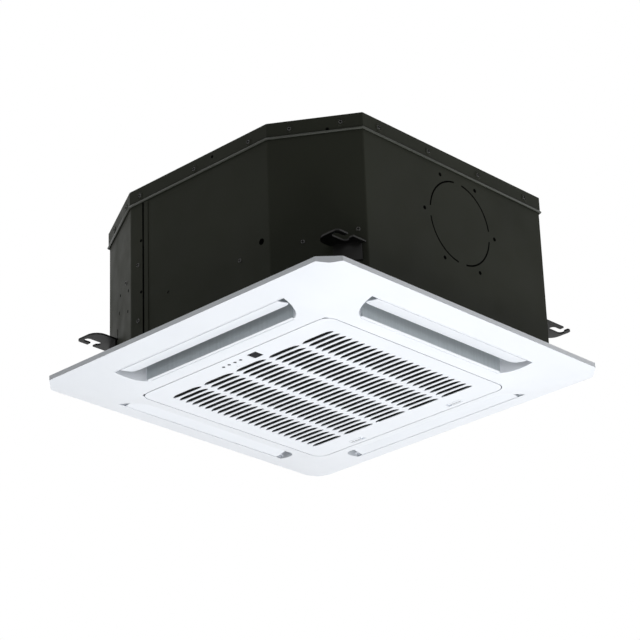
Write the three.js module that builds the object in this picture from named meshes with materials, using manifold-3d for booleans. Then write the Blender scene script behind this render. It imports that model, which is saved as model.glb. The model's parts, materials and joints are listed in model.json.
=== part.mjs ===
// Ceiling cassette air conditioner, four-way, compact size. Millimetres, +Z up.
// z = 0 is the ceiling plane that the panel's rim closes against; x = y = 0 is the panel's centre.
import * as THREE from "three";
import { mergeVertices } from "three/addons/utils/BufferGeometryUtils.js";
import Module from "manifold-3d";

const wasm = await Module();
wasm.setup();

// ---- Driving dimensions ----------------------------------------------------------------------
const GAP = 0.3; // air left between pieces that touch
const PANEL_HALF = 323.5; // half of the 647 mm decorative panel
const PANEL_CHAMFER = 28.6; // cut off each panel corner, along each side
const RIM = 8; // height of the panel's upright rim
const FACE_DROP = 30.7; // depth of the grille's face below the ceiling plane
const FACE_HALF = 211; // half of the flat middle of the panel
const SKIN = 2.8; // wall of the panel moulding
const WELL_HALF = 209.2; // half of the hole that the grille closes
const WELL_RADIUS = 21;
const GRILLE_HALF = 207.6;
const GRILLE_RADIUS = 19;
const GRILLE_SKIN = 2.5;

const SLOT_ROWS = 24;
const SLOT_PITCH = 14;
const SLOT_FIRST = -163.3; // x of the first row of slots
const SLOT_COLUMNS = 5;
const COLUMN_PITCH = 72.4;
const COLUMN_MIDDLE = 1.5; // y of the middle column
const SLOT_HALF = 33.2; // half of a slot's length

// Half of an outlet at the panel's face: distance from the centre, then half length there.
const OUTLET_END = [
  [281, 188],
  [262, 186],
  [246, 180],
  [235, 162],
];
// The same for the port above it in the drain pan.
const PORT_END = [
  [276, 138],
  [264, 145],
  [252, 151],
  [242, 155],
];
const DUCT_WALL = 1.7;
const DUCT_BEND = 0; // height where the duct's ends start to lean inwards

const FLAP_AXIS_R = 276.8; // distance of a flap's axis from the centre
const FLAP_AXIS_Z = -10.5;
const FLAP_HALF = 174; // half of a flap's length
const FLAP_SHAFT = 1.1; // radius
const GEAR_PITCH_RADIUS = 3.4;
const GEAR_FACE = 1.4; // length of the teeth along the axis
const GEAR_TEETH = 12;

const UNIT_BOTTOM = 24;
const UNIT_TOP = 285;
const LIP_BOTTOM = 257;
const SHEET = 1.5;
const COVER_PROUD = 1.8; // how far the cover's lip stands out from the walls
const FOAM = 9;
const PAN_TOP = 60;
const GUTTER_FLOOR = 34;

const COIL_OUTER = 232;
const COIL_INNER = 200;
const COIL_RADIUS = 70;
const COIL_BOTTOM = 38;
const COIL_TOP = 268;

// Middle of each hanger bracket's slot, in the order of the chamfers that carry them.
const HANGER_SLOTS = [
  [-244, -274],
  [266, -274],
  [266, 260],
  [-263, 260],
];
const HANGER = { z: 65, plate: 3, reach: 22, far: 14, near: 33, bend: 20, tip: 7, flange: 22 };

const FAN_RADIUS = 150;
const FAN_TOP = 205.5;
const BLADES = 7;

// Outline of the casing seen from above, anticlockwise, with its four unequal chamfers.
const CASING = [
  [-283, -165],
  [-202, -290],
  [222, -290],
  [285, -140],
  [285, 155],
  [205, 280],
  [-209, 280],
  [-283, 146],
];

// ---- Shapes ----------------------------------------------------------------------------------
// A closed geometry as a solid, turned the right way out.
function solid(geometry) {
  const loose = geometry.index ? geometry.toNonIndexed() : geometry.clone();
  loose.deleteAttribute("normal");
  loose.deleteAttribute("uv");
  const merged = mergeVertices(loose, 1e-4);
  const place = merged.attributes.position;
  const corners = [];
  let volume = 0;
  for (let i = 0; i < merged.index.count; i += 3) {
    const [a, b, c] = [0, 1, 2].map((k) => merged.index.getX(i + k));
    if (a === b || b === c || c === a) continue;
    corners.push([a, b, c]);
    const [p, q, r] = [a, b, c].map((v) => new THREE.Vector3().fromBufferAttribute(place, v));
    volume += p.dot(q.cross(r));
  }
  const turned = volume < 0 ? corners.map(([a, b, c]) => [a, c, b]) : corners;
  const mesh = new wasm.Mesh({
    numProp: 3,
    vertProperties: new Float32Array(place.array),
    triVerts: new Uint32Array(turned.flat()),
  });
  return new wasm.Manifold(mesh);
}

const join = (...solids) => solids.reduce((a, b) => a.add(b));
const cut = (from, ...solids) => solids.reduce((a, b) => a.subtract(b), from);
const common = (a, b) => a.intersect(b);

function box(x0, x1, y0, y1, z0, z1) {
  const shape = new THREE.BoxGeometry(x1 - x0, y1 - y0, z1 - z0);
  return solid(shape.translate((x0 + x1) / 2, (y0 + y1) / 2, (z0 + z1) / 2));
}

function shapeOf(points) {
  return new THREE.Shape(points.map(([x, y]) => new THREE.Vector2(x, y)));
}

function extrude(shape, z0, z1, steps = 6) {
  const flat = { depth: z1 - z0, bevelEnabled: false, curveSegments: steps };
  return new THREE.ExtrudeGeometry(shape, flat).translate(0, 0, z0);
}

const prism = (points, z0, z1) => solid(extrude(shapeOf(points), z0, z1));

function cylinder(radius, z0, z1, x = 0, y = 0, sides = 16) {
  const shape = new THREE.CylinderGeometry(radius, radius, z1 - z0, sides);
  return solid(shape.rotateX(Math.PI / 2).translate(x, y, (z0 + z1) / 2));
}

// A cylinder along y, from y0 to y1.
function rod(radius, y0, y1, x, z, sides = 12) {
  const shape = new THREE.CylinderGeometry(radius, radius, y1 - y0, sides);
  return solid(shape.translate(x, (y0 + y1) / 2, z));
}

function lathe(profile, sides, start = 0) {
  const points = profile.map(([r, z]) => new THREE.Vector2(r, z));
  return solid(new THREE.LatheGeometry(points, sides, start).rotateX(Math.PI / 2));
}

// A lathe of four sides makes a pyramid frustum; its profile gives half widths, not radii.
function pyramid(profile) {
  const corner = profile.map(([half, z]) => [half * Math.SQRT2, z]);
  return lathe(corner, 4, Math.PI / 4);
}

function roundedSquare(halfX, halfY, radius) {
  const shape = new THREE.Shape();
  const turns = [
    [halfX - radius, radius - halfY, -0.5],
    [halfX - radius, halfY - radius, 0],
    [radius - halfX, halfY - radius, 0.5],
    [radius - halfX, radius - halfY, 1],
  ];
  for (const [x, y, start] of turns) {
    shape.absarc(x, y, radius, start * Math.PI, (start + 0.5) * Math.PI, false);
  }
  shape.closePath();
  return shape;
}

const block = (half, radius, z0, z1) => solid(extrude(roundedSquare(half, half, radius), z0, z1, 4));

const octagon = (half, chamfer) => {
  const near = half - chamfer;
  return [
    [near, -half],
    [half, -near],
    [half, near],
    [near, half],
    [-near, half],
    [-half, near],
    [-half, -near],
    [-near, -half],
  ];
};

// A convex anticlockwise outline moved inwards by a distance, or outwards if it is negative.
function inset(points, distance) {
  const edges = points.map(([x, y], i) => {
    const [u, v] = points[(i + 1) % points.length];
    const length = Math.hypot(u - x, v - y);
    const normal = [-(v - y) / length, (u - x) / length];
    return { normal, offset: x * normal[0] + y * normal[1] + distance };
  });
  return edges.map((edge, i) => {
    const last = edges[(i + edges.length - 1) % edges.length];
    const det = last.normal[0] * edge.normal[1] - last.normal[1] * edge.normal[0];
    return [
      (last.offset * edge.normal[1] - edge.offset * last.normal[1]) / det,
      (edge.offset * last.normal[0] - last.offset * edge.normal[0]) / det,
    ];
  });
}

// A solid between two convex outlines with the same number of points each.
function bridge(low, high) {
  const count = low.length;
  const faces = [];
  for (let i = 1; i < count - 1; i += 1) {
    faces.push([0, i + 1, i], [count, count + i, count + i + 1]);
  }
  for (let i = 0; i < count; i += 1) {
    const next = (i + 1) % count;
    faces.push([i, next, count + next], [i, count + next, count + i]);
  }
  const geometry = new THREE.BufferGeometry().setFromPoints([...low, ...high]);
  geometry.setIndex(faces.flat());
  return solid(geometry);
}

// The same between two plan outlines at two heights.
function loft(low, z0, high, z1) {
  const lift = (points, z) => points.map(([x, y]) => new THREE.Vector3(x, y, z));
  return bridge(lift(low, z0), lift(high, z1));
}

function geometryOf(made) {
  const mesh = made.getMesh();
  const geometry = new THREE.BufferGeometry();
  const place = new Float32Array(mesh.vertProperties);
  geometry.setAttribute("position", new THREE.BufferAttribute(place, 3));
  geometry.setIndex(new THREE.BufferAttribute(new Uint32Array(mesh.triVerts), 1));
  geometry.computeVertexNormals();
  return geometry;
}

// ---- Finishes --------------------------------------------------------------------------------
const PANEL_WHITE = { color: 0xe9edf4, roughness: 0.42, metalness: 0 };
const DUCT_GREY = { color: 0x7a8187, roughness: 0.6, metalness: 0 };
const BLACK_SHEET = { color: 0x2b2d29, roughness: 0.5, metalness: 0.3 };
const BLACK_STEEL = { color: 0x131312, roughness: 0.4, metalness: 0.5 };
const FOAM_WHITE = { color: 0xd9dadb, roughness: 0.9, metalness: 0 };
const FOAM_DARK = { color: 0x3a3b3c, roughness: 0.85, metalness: 0 };
const DARK_PLASTIC = { color: 0x26272a, roughness: 0.55, metalness: 0 };
const GLOSS_BLACK = { color: 0x17181b, roughness: 0.15, metalness: 0 };
const ALUMINIUM = { color: 0xb6babd, roughness: 0.4, metalness: 0.9 };
const ZINC_STEEL = { color: 0x9a9c9e, roughness: 0.35, metalness: 0.9 };
const COPPER = { color: 0xb87a52, roughness: 0.3, metalness: 1 };
const BRASS = { color: 0xb99b58, roughness: 0.3, metalness: 1 };
const BOARD_GREEN = { color: 0x2f5a3c, roughness: 0.5, metalness: 0 };
const LENS_SMOKE = { color: 0x3b3d41, roughness: 0.2, metalness: 0 };
const GEAR_WHITE = { color: 0xe4e2d8, roughness: 0.5, metalness: 0 };

const cassette = new THREE.Group();

function piece(name, made, finish, quarterTurns = 0) {
  const mesh = new THREE.Mesh(geometryOf(made), new THREE.MeshStandardMaterial(finish));
  mesh.name = name;
  mesh.rotation.z = (quarterTurns * Math.PI) / 2;
  cassette.add(mesh);
}

// ---- Casing ----------------------------------------------------------------------------------
// Direction out of a chamfer and the point at its middle, for the edge that starts at a corner.
function chamferFrame(start) {
  const [a, b] = [CASING[start], CASING[(start + 1) % CASING.length]];
  const out = new THREE.Vector3(b[1] - a[1], a[0] - b[0], 0).normalize();
  const middle = new THREE.Vector3((a[0] + b[0]) / 2, (a[1] + b[1]) / 2, 0);
  return { out, middle, angle: Math.atan2(out.y, out.x) };
}

const NEAR_CHAMFER = 0;
const RIGHT_CHAMFER = 2;
const FAR_CHAMFER = 4;
const LEFT_CHAMFER = 6;

// A cylinder that leaves a chamfer at right angles; along is its offset to the left seen from
// inside, and its ends are counted from the wall's outer face.
function chamferRod(start, along, z, radius, from, to, sides = 16) {
  const { middle, angle } = chamferFrame(start);
  const shape = new THREE.CylinderGeometry(radius, radius, to - from, sides);
  shape.rotateZ(-Math.PI / 2).translate((from + to) / 2, along, z);
  return solid(shape.rotateZ(angle).translate(middle.x, middle.y, 0));
}

// A box square to a chamfer, in the same coordinates, from side to side of the chamfer's middle.
function chamferBox(start, from, to, half, z0, z1) {
  const { middle, angle } = chamferFrame(start);
  const shape = new THREE.BoxGeometry(to - from, 2 * half, z1 - z0);
  shape.translate((from + to) / 2, 0, (z0 + z1) / 2);
  return solid(shape.rotateZ(angle).translate(middle.x, middle.y, 0));
}

const PIPES = [
  { name: "gas", along: -42, z: 96, radius: 6.35, nut: 12, inside: 45 },
  { name: "liquid", along: -8, z: 96, radius: 3.2, nut: 8.5, inside: 28 },
];
const DRAIN = { along: 38, z: 196, radius: 16 };
const CABLE = { along: 0, z: 42, radius: 10 }; // way in for the supply cable

const wallRing = cut(
  prism(CASING, UNIT_BOTTOM, UNIT_TOP - SHEET - GAP),
  prism(inset(CASING, SHEET), UNIT_BOTTOM - 1, UNIT_TOP),
);

const KNOCKOUT = { x: 17, z: 169, radius: 71, slot: 1.6, arcs: 4, bridge: 0.13 };

// The broken ring of narrow slots round the fresh-air knockout, and the six screw holes round it.
function knockoutCuts() {
  const cuts = [];
  const sweep = (2 * Math.PI) / KNOCKOUT.arcs;
  for (let i = 0; i < KNOCKOUT.arcs; i += 1) {
    const arc = new THREE.Shape();
    const [from, to] = [i * sweep + KNOCKOUT.bridge, (i + 1) * sweep - KNOCKOUT.bridge];
    arc.absarc(0, 0, KNOCKOUT.radius, from, to, false);
    arc.absarc(0, 0, KNOCKOUT.radius - KNOCKOUT.slot, to, from, true);
    cuts.push(extrude(arc, -5, 5, 7));
  }
  for (let i = 0; i < 6; i += 1) {
    const angle = (i * Math.PI) / 3;
    const hole = new THREE.CylinderGeometry(2.4, 2.4, 10, 6).rotateX(Math.PI / 2);
    cuts.push(hole.translate(83.5 * Math.cos(angle), 83.5 * Math.sin(angle), 0));
  }
  const upright = (shape) => shape.rotateX(Math.PI / 2).translate(KNOCKOUT.x, -290, KNOCKOUT.z);
  return cuts.map((shape) => solid(upright(shape)));
}

// Small round holes along a wall at x = -283: y, z and radius.
const LEFT_WALL_HOLES = [
  [59, 78, 2.6],
  [-148, 90, 3.6],
];

const leftWallHole = ([y, z, radius]) => {
  const shape = new THREE.CylinderGeometry(radius, radius, 8, 8).rotateZ(Math.PI / 2);
  return solid(shape.translate(-283, y, z));
};

// Slots and holes in the left chamfer: offset along it, lowest z, highest z, half width.
const CHAMFER_SLOTS = [
  [-16, 66, 84, 2.2],
  [-4, 104, 110, 2],
];

function nearSideSheet() {
  const sheet = common(wallRing, box(-300, 220, -300, 115.7, 0, 300));
  return cut(sheet, ...knockoutCuts(), ...LEFT_WALL_HOLES.map(leftWallHole));
}

function leftCornerSheet() {
  const sheet = common(wallRing, box(-300, -185, 116, 300, 0, 300));
  const { middle, angle } = chamferFrame(LEFT_CHAMFER);
  const slots = CHAMFER_SLOTS.map(([along, z0, z1, half]) => {
    const shape = new THREE.BoxGeometry(8, 2 * half, z1 - z0).translate(0, along, (z0 + z1) / 2);
    return solid(shape.rotateZ(angle).translate(middle.x, middle.y, 0));
  });
  return cut(sheet, ...slots);
}

const rightCornerSheet = () => common(wallRing, box(220.3, 300, -300, -116, 0, 300));

function farSideSheet() {
  const sheet = common(wallRing, box(-184.7, 300, -115.7, 300, 0, 300));
  const pipeHoles = PIPES.map((pipe) =>
    chamferRod(FAR_CHAMFER, pipe.along, pipe.z, pipe.radius + 2, -6, 6),
  );
  const drainHole = chamferRod(FAR_CHAMFER, DRAIN.along, DRAIN.z, DRAIN.radius - 3, -6, 6);
  const cableHole = chamferRod(FAR_CHAMFER, CABLE.along, CABLE.z, CABLE.radius + 2 + GAP, -6, 6);
  return cut(sheet, ...pipeHoles, drainHole, cableHole);
}

function topCover() {
  const outside = inset(CASING, -COVER_PROUD);
  const plate = prism(outside, UNIT_TOP - SHEET, UNIT_TOP);
  const lip = cut(
    prism(outside, LIP_BOTTOM, UNIT_TOP - SHEET / 2),
    prism(inset(CASING, -GAP), LIP_BOTTOM - 1, UNIT_TOP - SHEET),
  );
  return join(plate, lip);
}

const FOAM_TOP = UNIT_TOP - SHEET - GAP;

function foamLiner() {
  const outside = inset(CASING, SHEET + GAP);
  const shell = cut(
    prism(outside, PAN_TOP + GAP, FOAM_TOP),
    prism(inset(CASING, SHEET + GAP + FOAM), PAN_TOP - 1, FOAM_TOP - FOAM - 3),
    cylinder(84, FOAM_TOP - 30, FOAM_TOP + 5, 0, 0, 24),
  );
  const pipeHoles = PIPES.map((pipe) =>
    chamferRod(FAR_CHAMFER, pipe.along, pipe.z, pipe.radius + 2, -20, 6, 10),
  );
  return cut(
    shell,
    ...pipeHoles,
    chamferRod(FAR_CHAMFER, DRAIN.along, DRAIN.z, DRAIN.radius - 3, -20, 6, 10),
  );
}

// One hanger bracket: a plate with a slot that is open to the side, on a flange down the chamfer.
function hangerBracket(start) {
  const { out, middle, angle } = chamferFrame(start);
  const [slotX, slotY] = HANGER_SLOTS[start / 2];
  const [signX, signY] = [Math.sign(slotX), Math.sign(slotY)];
  const { z, plate, reach, far, near, bend, tip } = HANGER;
  const edge = new THREE.Shape();
  edge.absarc(reach - bend, bend - near, bend, -Math.PI / 2, 0, false);
  edge.absarc(reach - tip, far - tip, tip, 0, Math.PI / 2, false);
  const arm = edge.getPoints(5).map(({ x, y }) => [slotX + signX * x, slotY + signY * y]);
  const root = (y) => {
    const x = middle.x - ((y - middle.y) * out.y) / out.x;
    return [x + GAP * out.x, y + GAP * out.y];
  };
  const roots = [root(slotY + signY * far), root(slotY - signY * near)];
  const slot = new THREE.Shape();
  slot.absarc(-10, 0, 6, Math.PI / 2, 1.5 * Math.PI, false);
  slot.absarc(10, 0, 6, -Math.PI / 2, Math.PI / 2, false);
  slot.closePath();
  const hole = extrude(slot, z - 5, z + 10).translate(slotX, slotY, 0);
  const throatY = [slotY, slotY + signY * 20].sort((a, b) => a - b);
  const throat = box(slotX + 1, slotX + 12, ...throatY, z - 5, z + 10);
  const foot = (slotY + (signY * (far - near)) / 2 - middle.y) / out.x;
  const flange = new THREE.BoxGeometry(3, 2 * HANGER.flange, 32);
  flange.translate(GAP + 1.5, foot, z + plate - 16).rotateZ(angle);
  return join(
    cut(prism([...arm, ...roots], z, z + plate), solid(hole), throat),
    solid(flange.translate(middle.x, middle.y, 0)),
  );
}

// ---- Cold side: coil, pan, pump ----------------------------------------------------------------
function heatExchanger() {
  return cut(
    block(COIL_OUTER, COIL_RADIUS, COIL_BOTTOM, COIL_TOP),
    block(COIL_INNER, COIL_RADIUS - 32, COIL_BOTTOM - 1, COIL_TOP + 1),
    box(150, 240, 150, 240, COIL_BOTTOM - 2, COIL_TOP + 2),
  );
}

// Tube plates close the coil's two open ends at the far corner.
const PLATE = 1.6;

function coilEndPlate(turned) {
  const [low, high] = [150 + GAP, 150 + GAP + PLATE];
  const across = [COIL_INNER - 2, COIL_OUTER + 2];
  return turned
    ? box(low, high, ...across, COIL_BOTTOM, COIL_TOP)
    : box(...across, low, high, COIL_BOTTOM, COIL_TOP);
}

function pipeStub(pipe) {
  const stub = chamferRod(FAR_CHAMFER, pipe.along, pipe.z, pipe.radius, -pipe.inside, 30, 12);
  return cut(stub, chamferRod(FAR_CHAMFER, pipe.along, pipe.z, pipe.radius - 1, 8, 40, 12));
}

function flareNut(pipe) {
  const nut = chamferRod(FAR_CHAMFER, pipe.along, pipe.z, pipe.nut, 12, 28, 6);
  return cut(nut, chamferRod(FAR_CHAMFER, pipe.along, pipe.z, pipe.radius + GAP, 5, 40, 14));
}

// The whole outline on the side at negative x, from the points of one end.
const ductOutline = (end) => [
  ...end.map(([r, half]) => [-r, -half]),
  ...end.map(([r, half]) => [-r, half]).reverse(),
];
const OUTLET = ductOutline(OUTLET_END);
const PORT = ductOutline(PORT_END);

const SIDES = [0, 1, 2, 3];

// An outline turned about the centre by a number of quarter turns.
function quarter(points, turns) {
  let turned = points;
  for (let i = 0; i < turns; i += 1) turned = turned.map(([x, y]) => [-y, x]);
  return turned;
}

function drainPan() {
  const gutter = cut(
    block(239.5, 74, GUTTER_FLOOR, PAN_TOP + 5),
    block(192, 36, GUTTER_FLOOR - 1, PAN_TOP + 6),
  );
  return cut(
    prism(inset(CASING, SHEET + GAP), UNIT_BOTTOM, PAN_TOP),
    gutter,
    chamferBox(FAR_CHAMFER, -18, 2, 16, UNIT_BOTTOM - 1, 58),
    chamferBox(FAR_CHAMFER, -70, 2, 8, UNIT_BOTTOM - 1, GUTTER_FLOOR - 2),
    cylinder(152, UNIT_BOTTOM - 1, PAN_TOP + 1, 0, 0, 32),
    ...SIDES.map((turn) => prism(quarter(PORT, turn), UNIT_BOTTOM - 1, PAN_TOP + 1)),
  );
}

const PUMP = { x: 198, y: 193 };

function drainPump() {
  return join(
    cylinder(19, 90, 150, PUMP.x, PUMP.y, 20),
    cylinder(8, 37, 92, PUMP.x, PUMP.y, 12),
    cylinder(13, 149, 172, PUMP.x, PUMP.y, 16),
  );
}

function drainSocket() {
  const shape = chamferRod(FAR_CHAMFER, DRAIN.along, DRAIN.z, DRAIN.radius, GAP, 32);
  return cut(shape, chamferRod(FAR_CHAMFER, DRAIN.along, DRAIN.z, DRAIN.radius - 3, -1, 40));
}

const FLOAT = { x: 166, y: 214, stem: 3, radius: 10, low: 40, height: 12 };

function floatSwitch() {
  return join(
    cylinder(FLOAT.stem, FLOAT.low - 4, 86, FLOAT.x, FLOAT.y, 10),
    cylinder(7, FLOAT.low - 5, FLOAT.low - 1, FLOAT.x, FLOAT.y, 12),
    cylinder(9, 84, 96, FLOAT.x, FLOAT.y, 12),
  );
}

function floatRing() {
  return cut(
    cylinder(FLOAT.radius, FLOAT.low, FLOAT.low + FLOAT.height, FLOAT.x, FLOAT.y, 18),
    cylinder(FLOAT.stem + 0.6, FLOAT.low - 5, FLOAT.low + 30, FLOAT.x, FLOAT.y, 10),
  );
}

// ---- Air path: bell mouth, fan, motor --------------------------------------------------------
function bellMouth() {
  const inside = [];
  const outside = [];
  for (let i = 0; i <= 3; i += 1) {
    const angle = (i / 3) * (Math.PI / 2);
    inside.push([118 + 32 * (1 - Math.sin(angle)), 23.7 + 34 * (1 - Math.cos(angle))]);
    outside.push([120.5 + 30 * (1 - Math.sin(angle)), 25.7 + 34 * (1 - Math.cos(angle))]);
  }
  const loop = [[172, 21.6], [150, 21.6], ...inside.slice(1), [118, 78], [120.5, 78]];
  const flange = [[151.4, 23.6], [172, 23.6], [172, 21.6]];
  return lathe([...loop, ...outside.reverse().slice(0, 3), ...flange], 32);
}

function impeller() {
  const hub = [
    [6.6, 160],
    [18, 160],
    [18, 166],
    [69.5, 166],
    [69.5, FAN_TOP - 2.5],
    [FAN_RADIUS, FAN_TOP - 2.5],
    [FAN_RADIUS, FAN_TOP],
    [66.8, FAN_TOP],
    [66.8, 168.8],
    [18, 168.8],
    [18, 178],
    [6.6, 178],
    [6.6, 160],
  ];
  const shroud = [
    [124, 72],
    [126.5, 72],
    [128.5, 88],
    [FAN_RADIUS, 97],
    [FAN_RADIUS, 100],
    [126.5, 91],
    [124, 72],
  ];
  const blades = [];
  for (let i = 0; i < BLADES; i += 1) {
    const blade = solid(bladeShape().rotateZ((i * 2 * Math.PI) / BLADES));
    blades.push(blade);
  }
  return join(lathe(hub, 28), lathe(shroud, 28), ...blades);
}

// A backward-curved blade as a bent strip, standing between the shroud and the back plate.
function bladeShape() {
  const strip = new THREE.Shape();
  const steps = 3;
  const place = (t, side) => {
    const radius = 98 + 50 * t;
    const angle = -0.55 * t * t - 0.12 * t + (side * 1.1) / radius;
    return [radius * Math.cos(angle), radius * Math.sin(angle)];
  };
  const points = [];
  for (let i = 0; i <= steps; i += 1) points.push(place(i / steps, -1));
  for (let i = steps; i >= 0; i -= 1) points.push(place(i / steps, 1));
  points.forEach(([x, y], i) => (i ? strip.lineTo(x, y) : strip.moveTo(x, y)));
  return extrude(strip, 94, FAN_TOP - 1.5);
}

function fanMotor() {
  return lathe(
    [
      [8, 190],
      [46, 190],
      [58, 200],
      [58, 258],
      [50, 268],
      [50, 276],
      [0, 276],
      [0, 206],
      [8, 206],
      [8, 190],
    ],
    24,
  );
}

function motorShaft() {
  return cylinder(6, 146, 205, 0, 0, 12);
}

function fanNut() {
  return cut(cylinder(10, 150, 159.7, 0, 0, 6), cylinder(6.4, 140, 170, 0, 0, 12));
}

function motorBracket() {
  const plate = cylinder(76, 276 + GAP, 279, 0, 0, 24);
  const feet = [0, 1, 2].map((i) => {
    const angle = (i * 2 * Math.PI) / 3 + 0.4;
    const [x, y] = [66 * Math.cos(angle), 66 * Math.sin(angle)];
    return cylinder(9, 278, UNIT_TOP - SHEET - GAP, x, y, 12);
  });
  return join(plate, ...feet);
}

// ---- Control box -------------------------------------------------------------------------------
const CONTROL = { x0: 158, x1: 205, half: 140, z0: -2, z1: 21 };

function controlBox() {
  return cut(
    box(CONTROL.x0, CONTROL.x1, -CONTROL.half, CONTROL.half, CONTROL.z0, CONTROL.z1),
    box(CONTROL.x0 + 2, CONTROL.x1 - 2, 2 - CONTROL.half, CONTROL.half - 2, CONTROL.z0 - 1, 19),
  );
}

function controlBoxCover() {
  const top = CONTROL.z0 - GAP;
  return box(CONTROL.x0, CONTROL.x1, -CONTROL.half, CONTROL.half, top - 1.6, top);
}

function controlBoard() {
  const board = box(CONTROL.x0 + 5, CONTROL.x1 - 5, -120, 90, 10, 11.6);
  const tall = [
    box(168, 184, -110, -86, 2, 10.5),
    box(172, 196, -60, -30, 0, 10.5),
    cylinder(6, 1, 10.5, 188, 0, 10),
    cylinder(6, 1, 10.5, 172, 20, 10),
  ];
  return join(board, ...tall);
}

function terminalBlock() {
  const ways = [0, 1, 2, 3].map((i) => box(172, 192, 97 + 9 * i, 104 + 9 * i, 5, 16));
  return join(box(168, 196, 95, 134, 12, 18), ...ways);
}

// A rubber ring that clips round the edge of its hole in the wall.
function cableGrommet() {
  const ring = (radius, from, to) => chamferRod(FAR_CHAMFER, CABLE.along, CABLE.z, radius, from, to);
  return cut(
    join(
      ring(CABLE.radius + 2, -SHEET - GAP - 2, GAP + 2),
      ring(CABLE.radius + 4, GAP, GAP + 2),
      ring(CABLE.radius + 4, -SHEET - GAP - 2, -SHEET - GAP),
    ),
    ring(CABLE.radius, -10, 10),
  );
}

// ---- Decorative panel ------------------------------------------------------------------------
const SLOPE = (FACE_DROP - RIM) / (PANEL_HALF - FACE_HALF);
const faceZ = (distance) => -RIM - SLOPE * (PANEL_HALF - distance);
const HINGE = { x: -205.2, z: -27.8, y: 120, pin: 1, barrel: 1.9 };
// How far the grille's edge reaches from the hinge's axis while it swings, with a gap.
const HINGE_REACH = 4.05;

function panelShell() {
  const outside = common(
    prism(octagon(PANEL_HALF, PANEL_CHAMFER), -40, 0),
    pyramid([
      [0, -FACE_DROP],
      [FACE_HALF, -FACE_DROP],
      [PANEL_HALF, -RIM],
      [PANEL_HALF, 0],
      [0, 0],
    ]),
  );
  const inner = PANEL_HALF - SKIN;
  const floor = SKIN - FACE_DROP;
  const inside = common(
    prism(octagon(inner, PANEL_CHAMFER - 1), -40, 1),
    pyramid([
      [0, floor],
      [FACE_HALF, floor],
      [inner, faceZ(inner) + SKIN],
      [inner, 1],
      [0, 1],
    ]),
  );
  return cut(
    outside,
    inside,
    block(WELL_HALF, WELL_RADIUS, -40, 1),
    ...SIDES.map((turn) => prism(quarter(OUTLET, turn), -40, -2)),
  );
}

// Two lugs and the pin between them, on which the grille's hook turns.
function hingeLug(y) {
  const legs = [-1, 1].map((side) => {
    const [y0, y1] = [y + side * 7 - 2, y + side * 7 + 2];
    return join(
      box(HINGE.x - 1.5, HINGE.x + 1.5, y0, y1, HINGE.z, -16),
      box(-212.5, HINGE.x + 1.5, y0, y1, -20, -16),
      rod(1.5, y0, y1, HINGE.x, HINGE.z, 10),
    );
  });
  return join(...legs, rod(HINGE.pin, y - 7, y + 7, HINGE.x, HINGE.z, 10));
}

// An upright rib that carries a flap's shaft beyond the duct.
function shaftRib(y) {
  const post = box(-FLAP_AXIS_R - 5, -FLAP_AXIS_R + 5, y - 2, y + 2, faceZ(FLAP_AXIS_R) + 1, -3);
  return cut(post, rod(FLAP_SHAFT + GAP, y - 5, y + 5, -FLAP_AXIS_R, FLAP_AXIS_Z, 8));
}

function turnedSolid(made, turns) {
  return solid(geometryOf(made).rotateZ((turns * Math.PI) / 2));
}

const RIB_Y = 250;

function panelFrame() {
  const wall = cut(block(214, 25, -29.2, -3), block(211.5, 23, -35, 0));
  const bosses = [[-252, -252], [252, -252], [252, 252], [-252, 252]].map(([x, y]) =>
    cylinder(5, faceZ(252) + 1, -1, x, y, 12),
  );
  const ribs = SIDES.flatMap((turn) => [RIB_Y, -RIB_Y].map((y) => turnedSolid(shaftRib(y), turn)));
  const swings = [-1, 1].map((side) => {
    const ends = [side * 189, side * 203].sort((a, b) => a - b);
    return cut(
      rod(HINGE_REACH, ...ends, HINGE.x, HINGE.z, 24),
      box(-212, -198, ...ends, HINGE.z, HINGE.z + 6),
    );
  });
  const shell = cut(panelShell(), ...swings);
  return join(shell, wall, ...bosses, ...ribs, hingeLug(HINGE.y), hingeLug(-HINGE.y));
}

function airDuct() {
  const body = (grow, z1) => {
    const low = inset(OUTLET, -grow);
    const high = inset(PORT, -grow);
    return join(prism(low, -34, DUCT_BEND + 0.01), loft(low, DUCT_BEND, high, z1));
  };
  const top = UNIT_BOTTOM - GAP;
  const aboveFace = pyramid([
    [0, SKIN + GAP - FACE_DROP],
    [FACE_HALF, SKIN + GAP - FACE_DROP],
    [318, faceZ(318) + SKIN + GAP],
    [318, 60],
    [0, 60],
  ]);
  const shell = cut(body(DUCT_WALL, top), body(0, top + 0.5));
  return cut(common(shell, aboveFace), rod(FLAP_SHAFT + 0.8, -200, 200, -FLAP_AXIS_R, FLAP_AXIS_Z));
}

// ---- Flaps and the gears that link them -------------------------------------------------------
const APEX = FLAP_AXIS_R; // where the shafts of two neighbouring flaps would meet
const GEAR_BACK = APEX - GEAR_PITCH_RADIUS;

function flapBlade() {
  const section = [
    [-278.2, -16.8],
    [-263.3, -14.4],
    [-249.5, -11],
    [-249.9, -9.2],
    [-263.5, -12.5],
    [-276, -14.7],
    [-276.3, -12.8],
    [-278.3, -13],
  ];
  const shape = extrude(shapeOf(section), -FLAP_HALF, FLAP_HALF).rotateX(Math.PI / 2);
  const plan = new THREE.Shape();
  const corner = 11;
  plan.moveTo(-290, -FLAP_HALF);
  plan.lineTo(-249.4 - corner, -FLAP_HALF);
  plan.absarc(-249.4 - corner, corner - FLAP_HALF, corner, -Math.PI / 2, 0, false);
  plan.absarc(-249.4 - corner, FLAP_HALF - corner, corner, 0, Math.PI / 2, false);
  plan.lineTo(-290, FLAP_HALF);
  return common(solid(shape), solid(extrude(plan, -30, 0, 4)));
}

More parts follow.
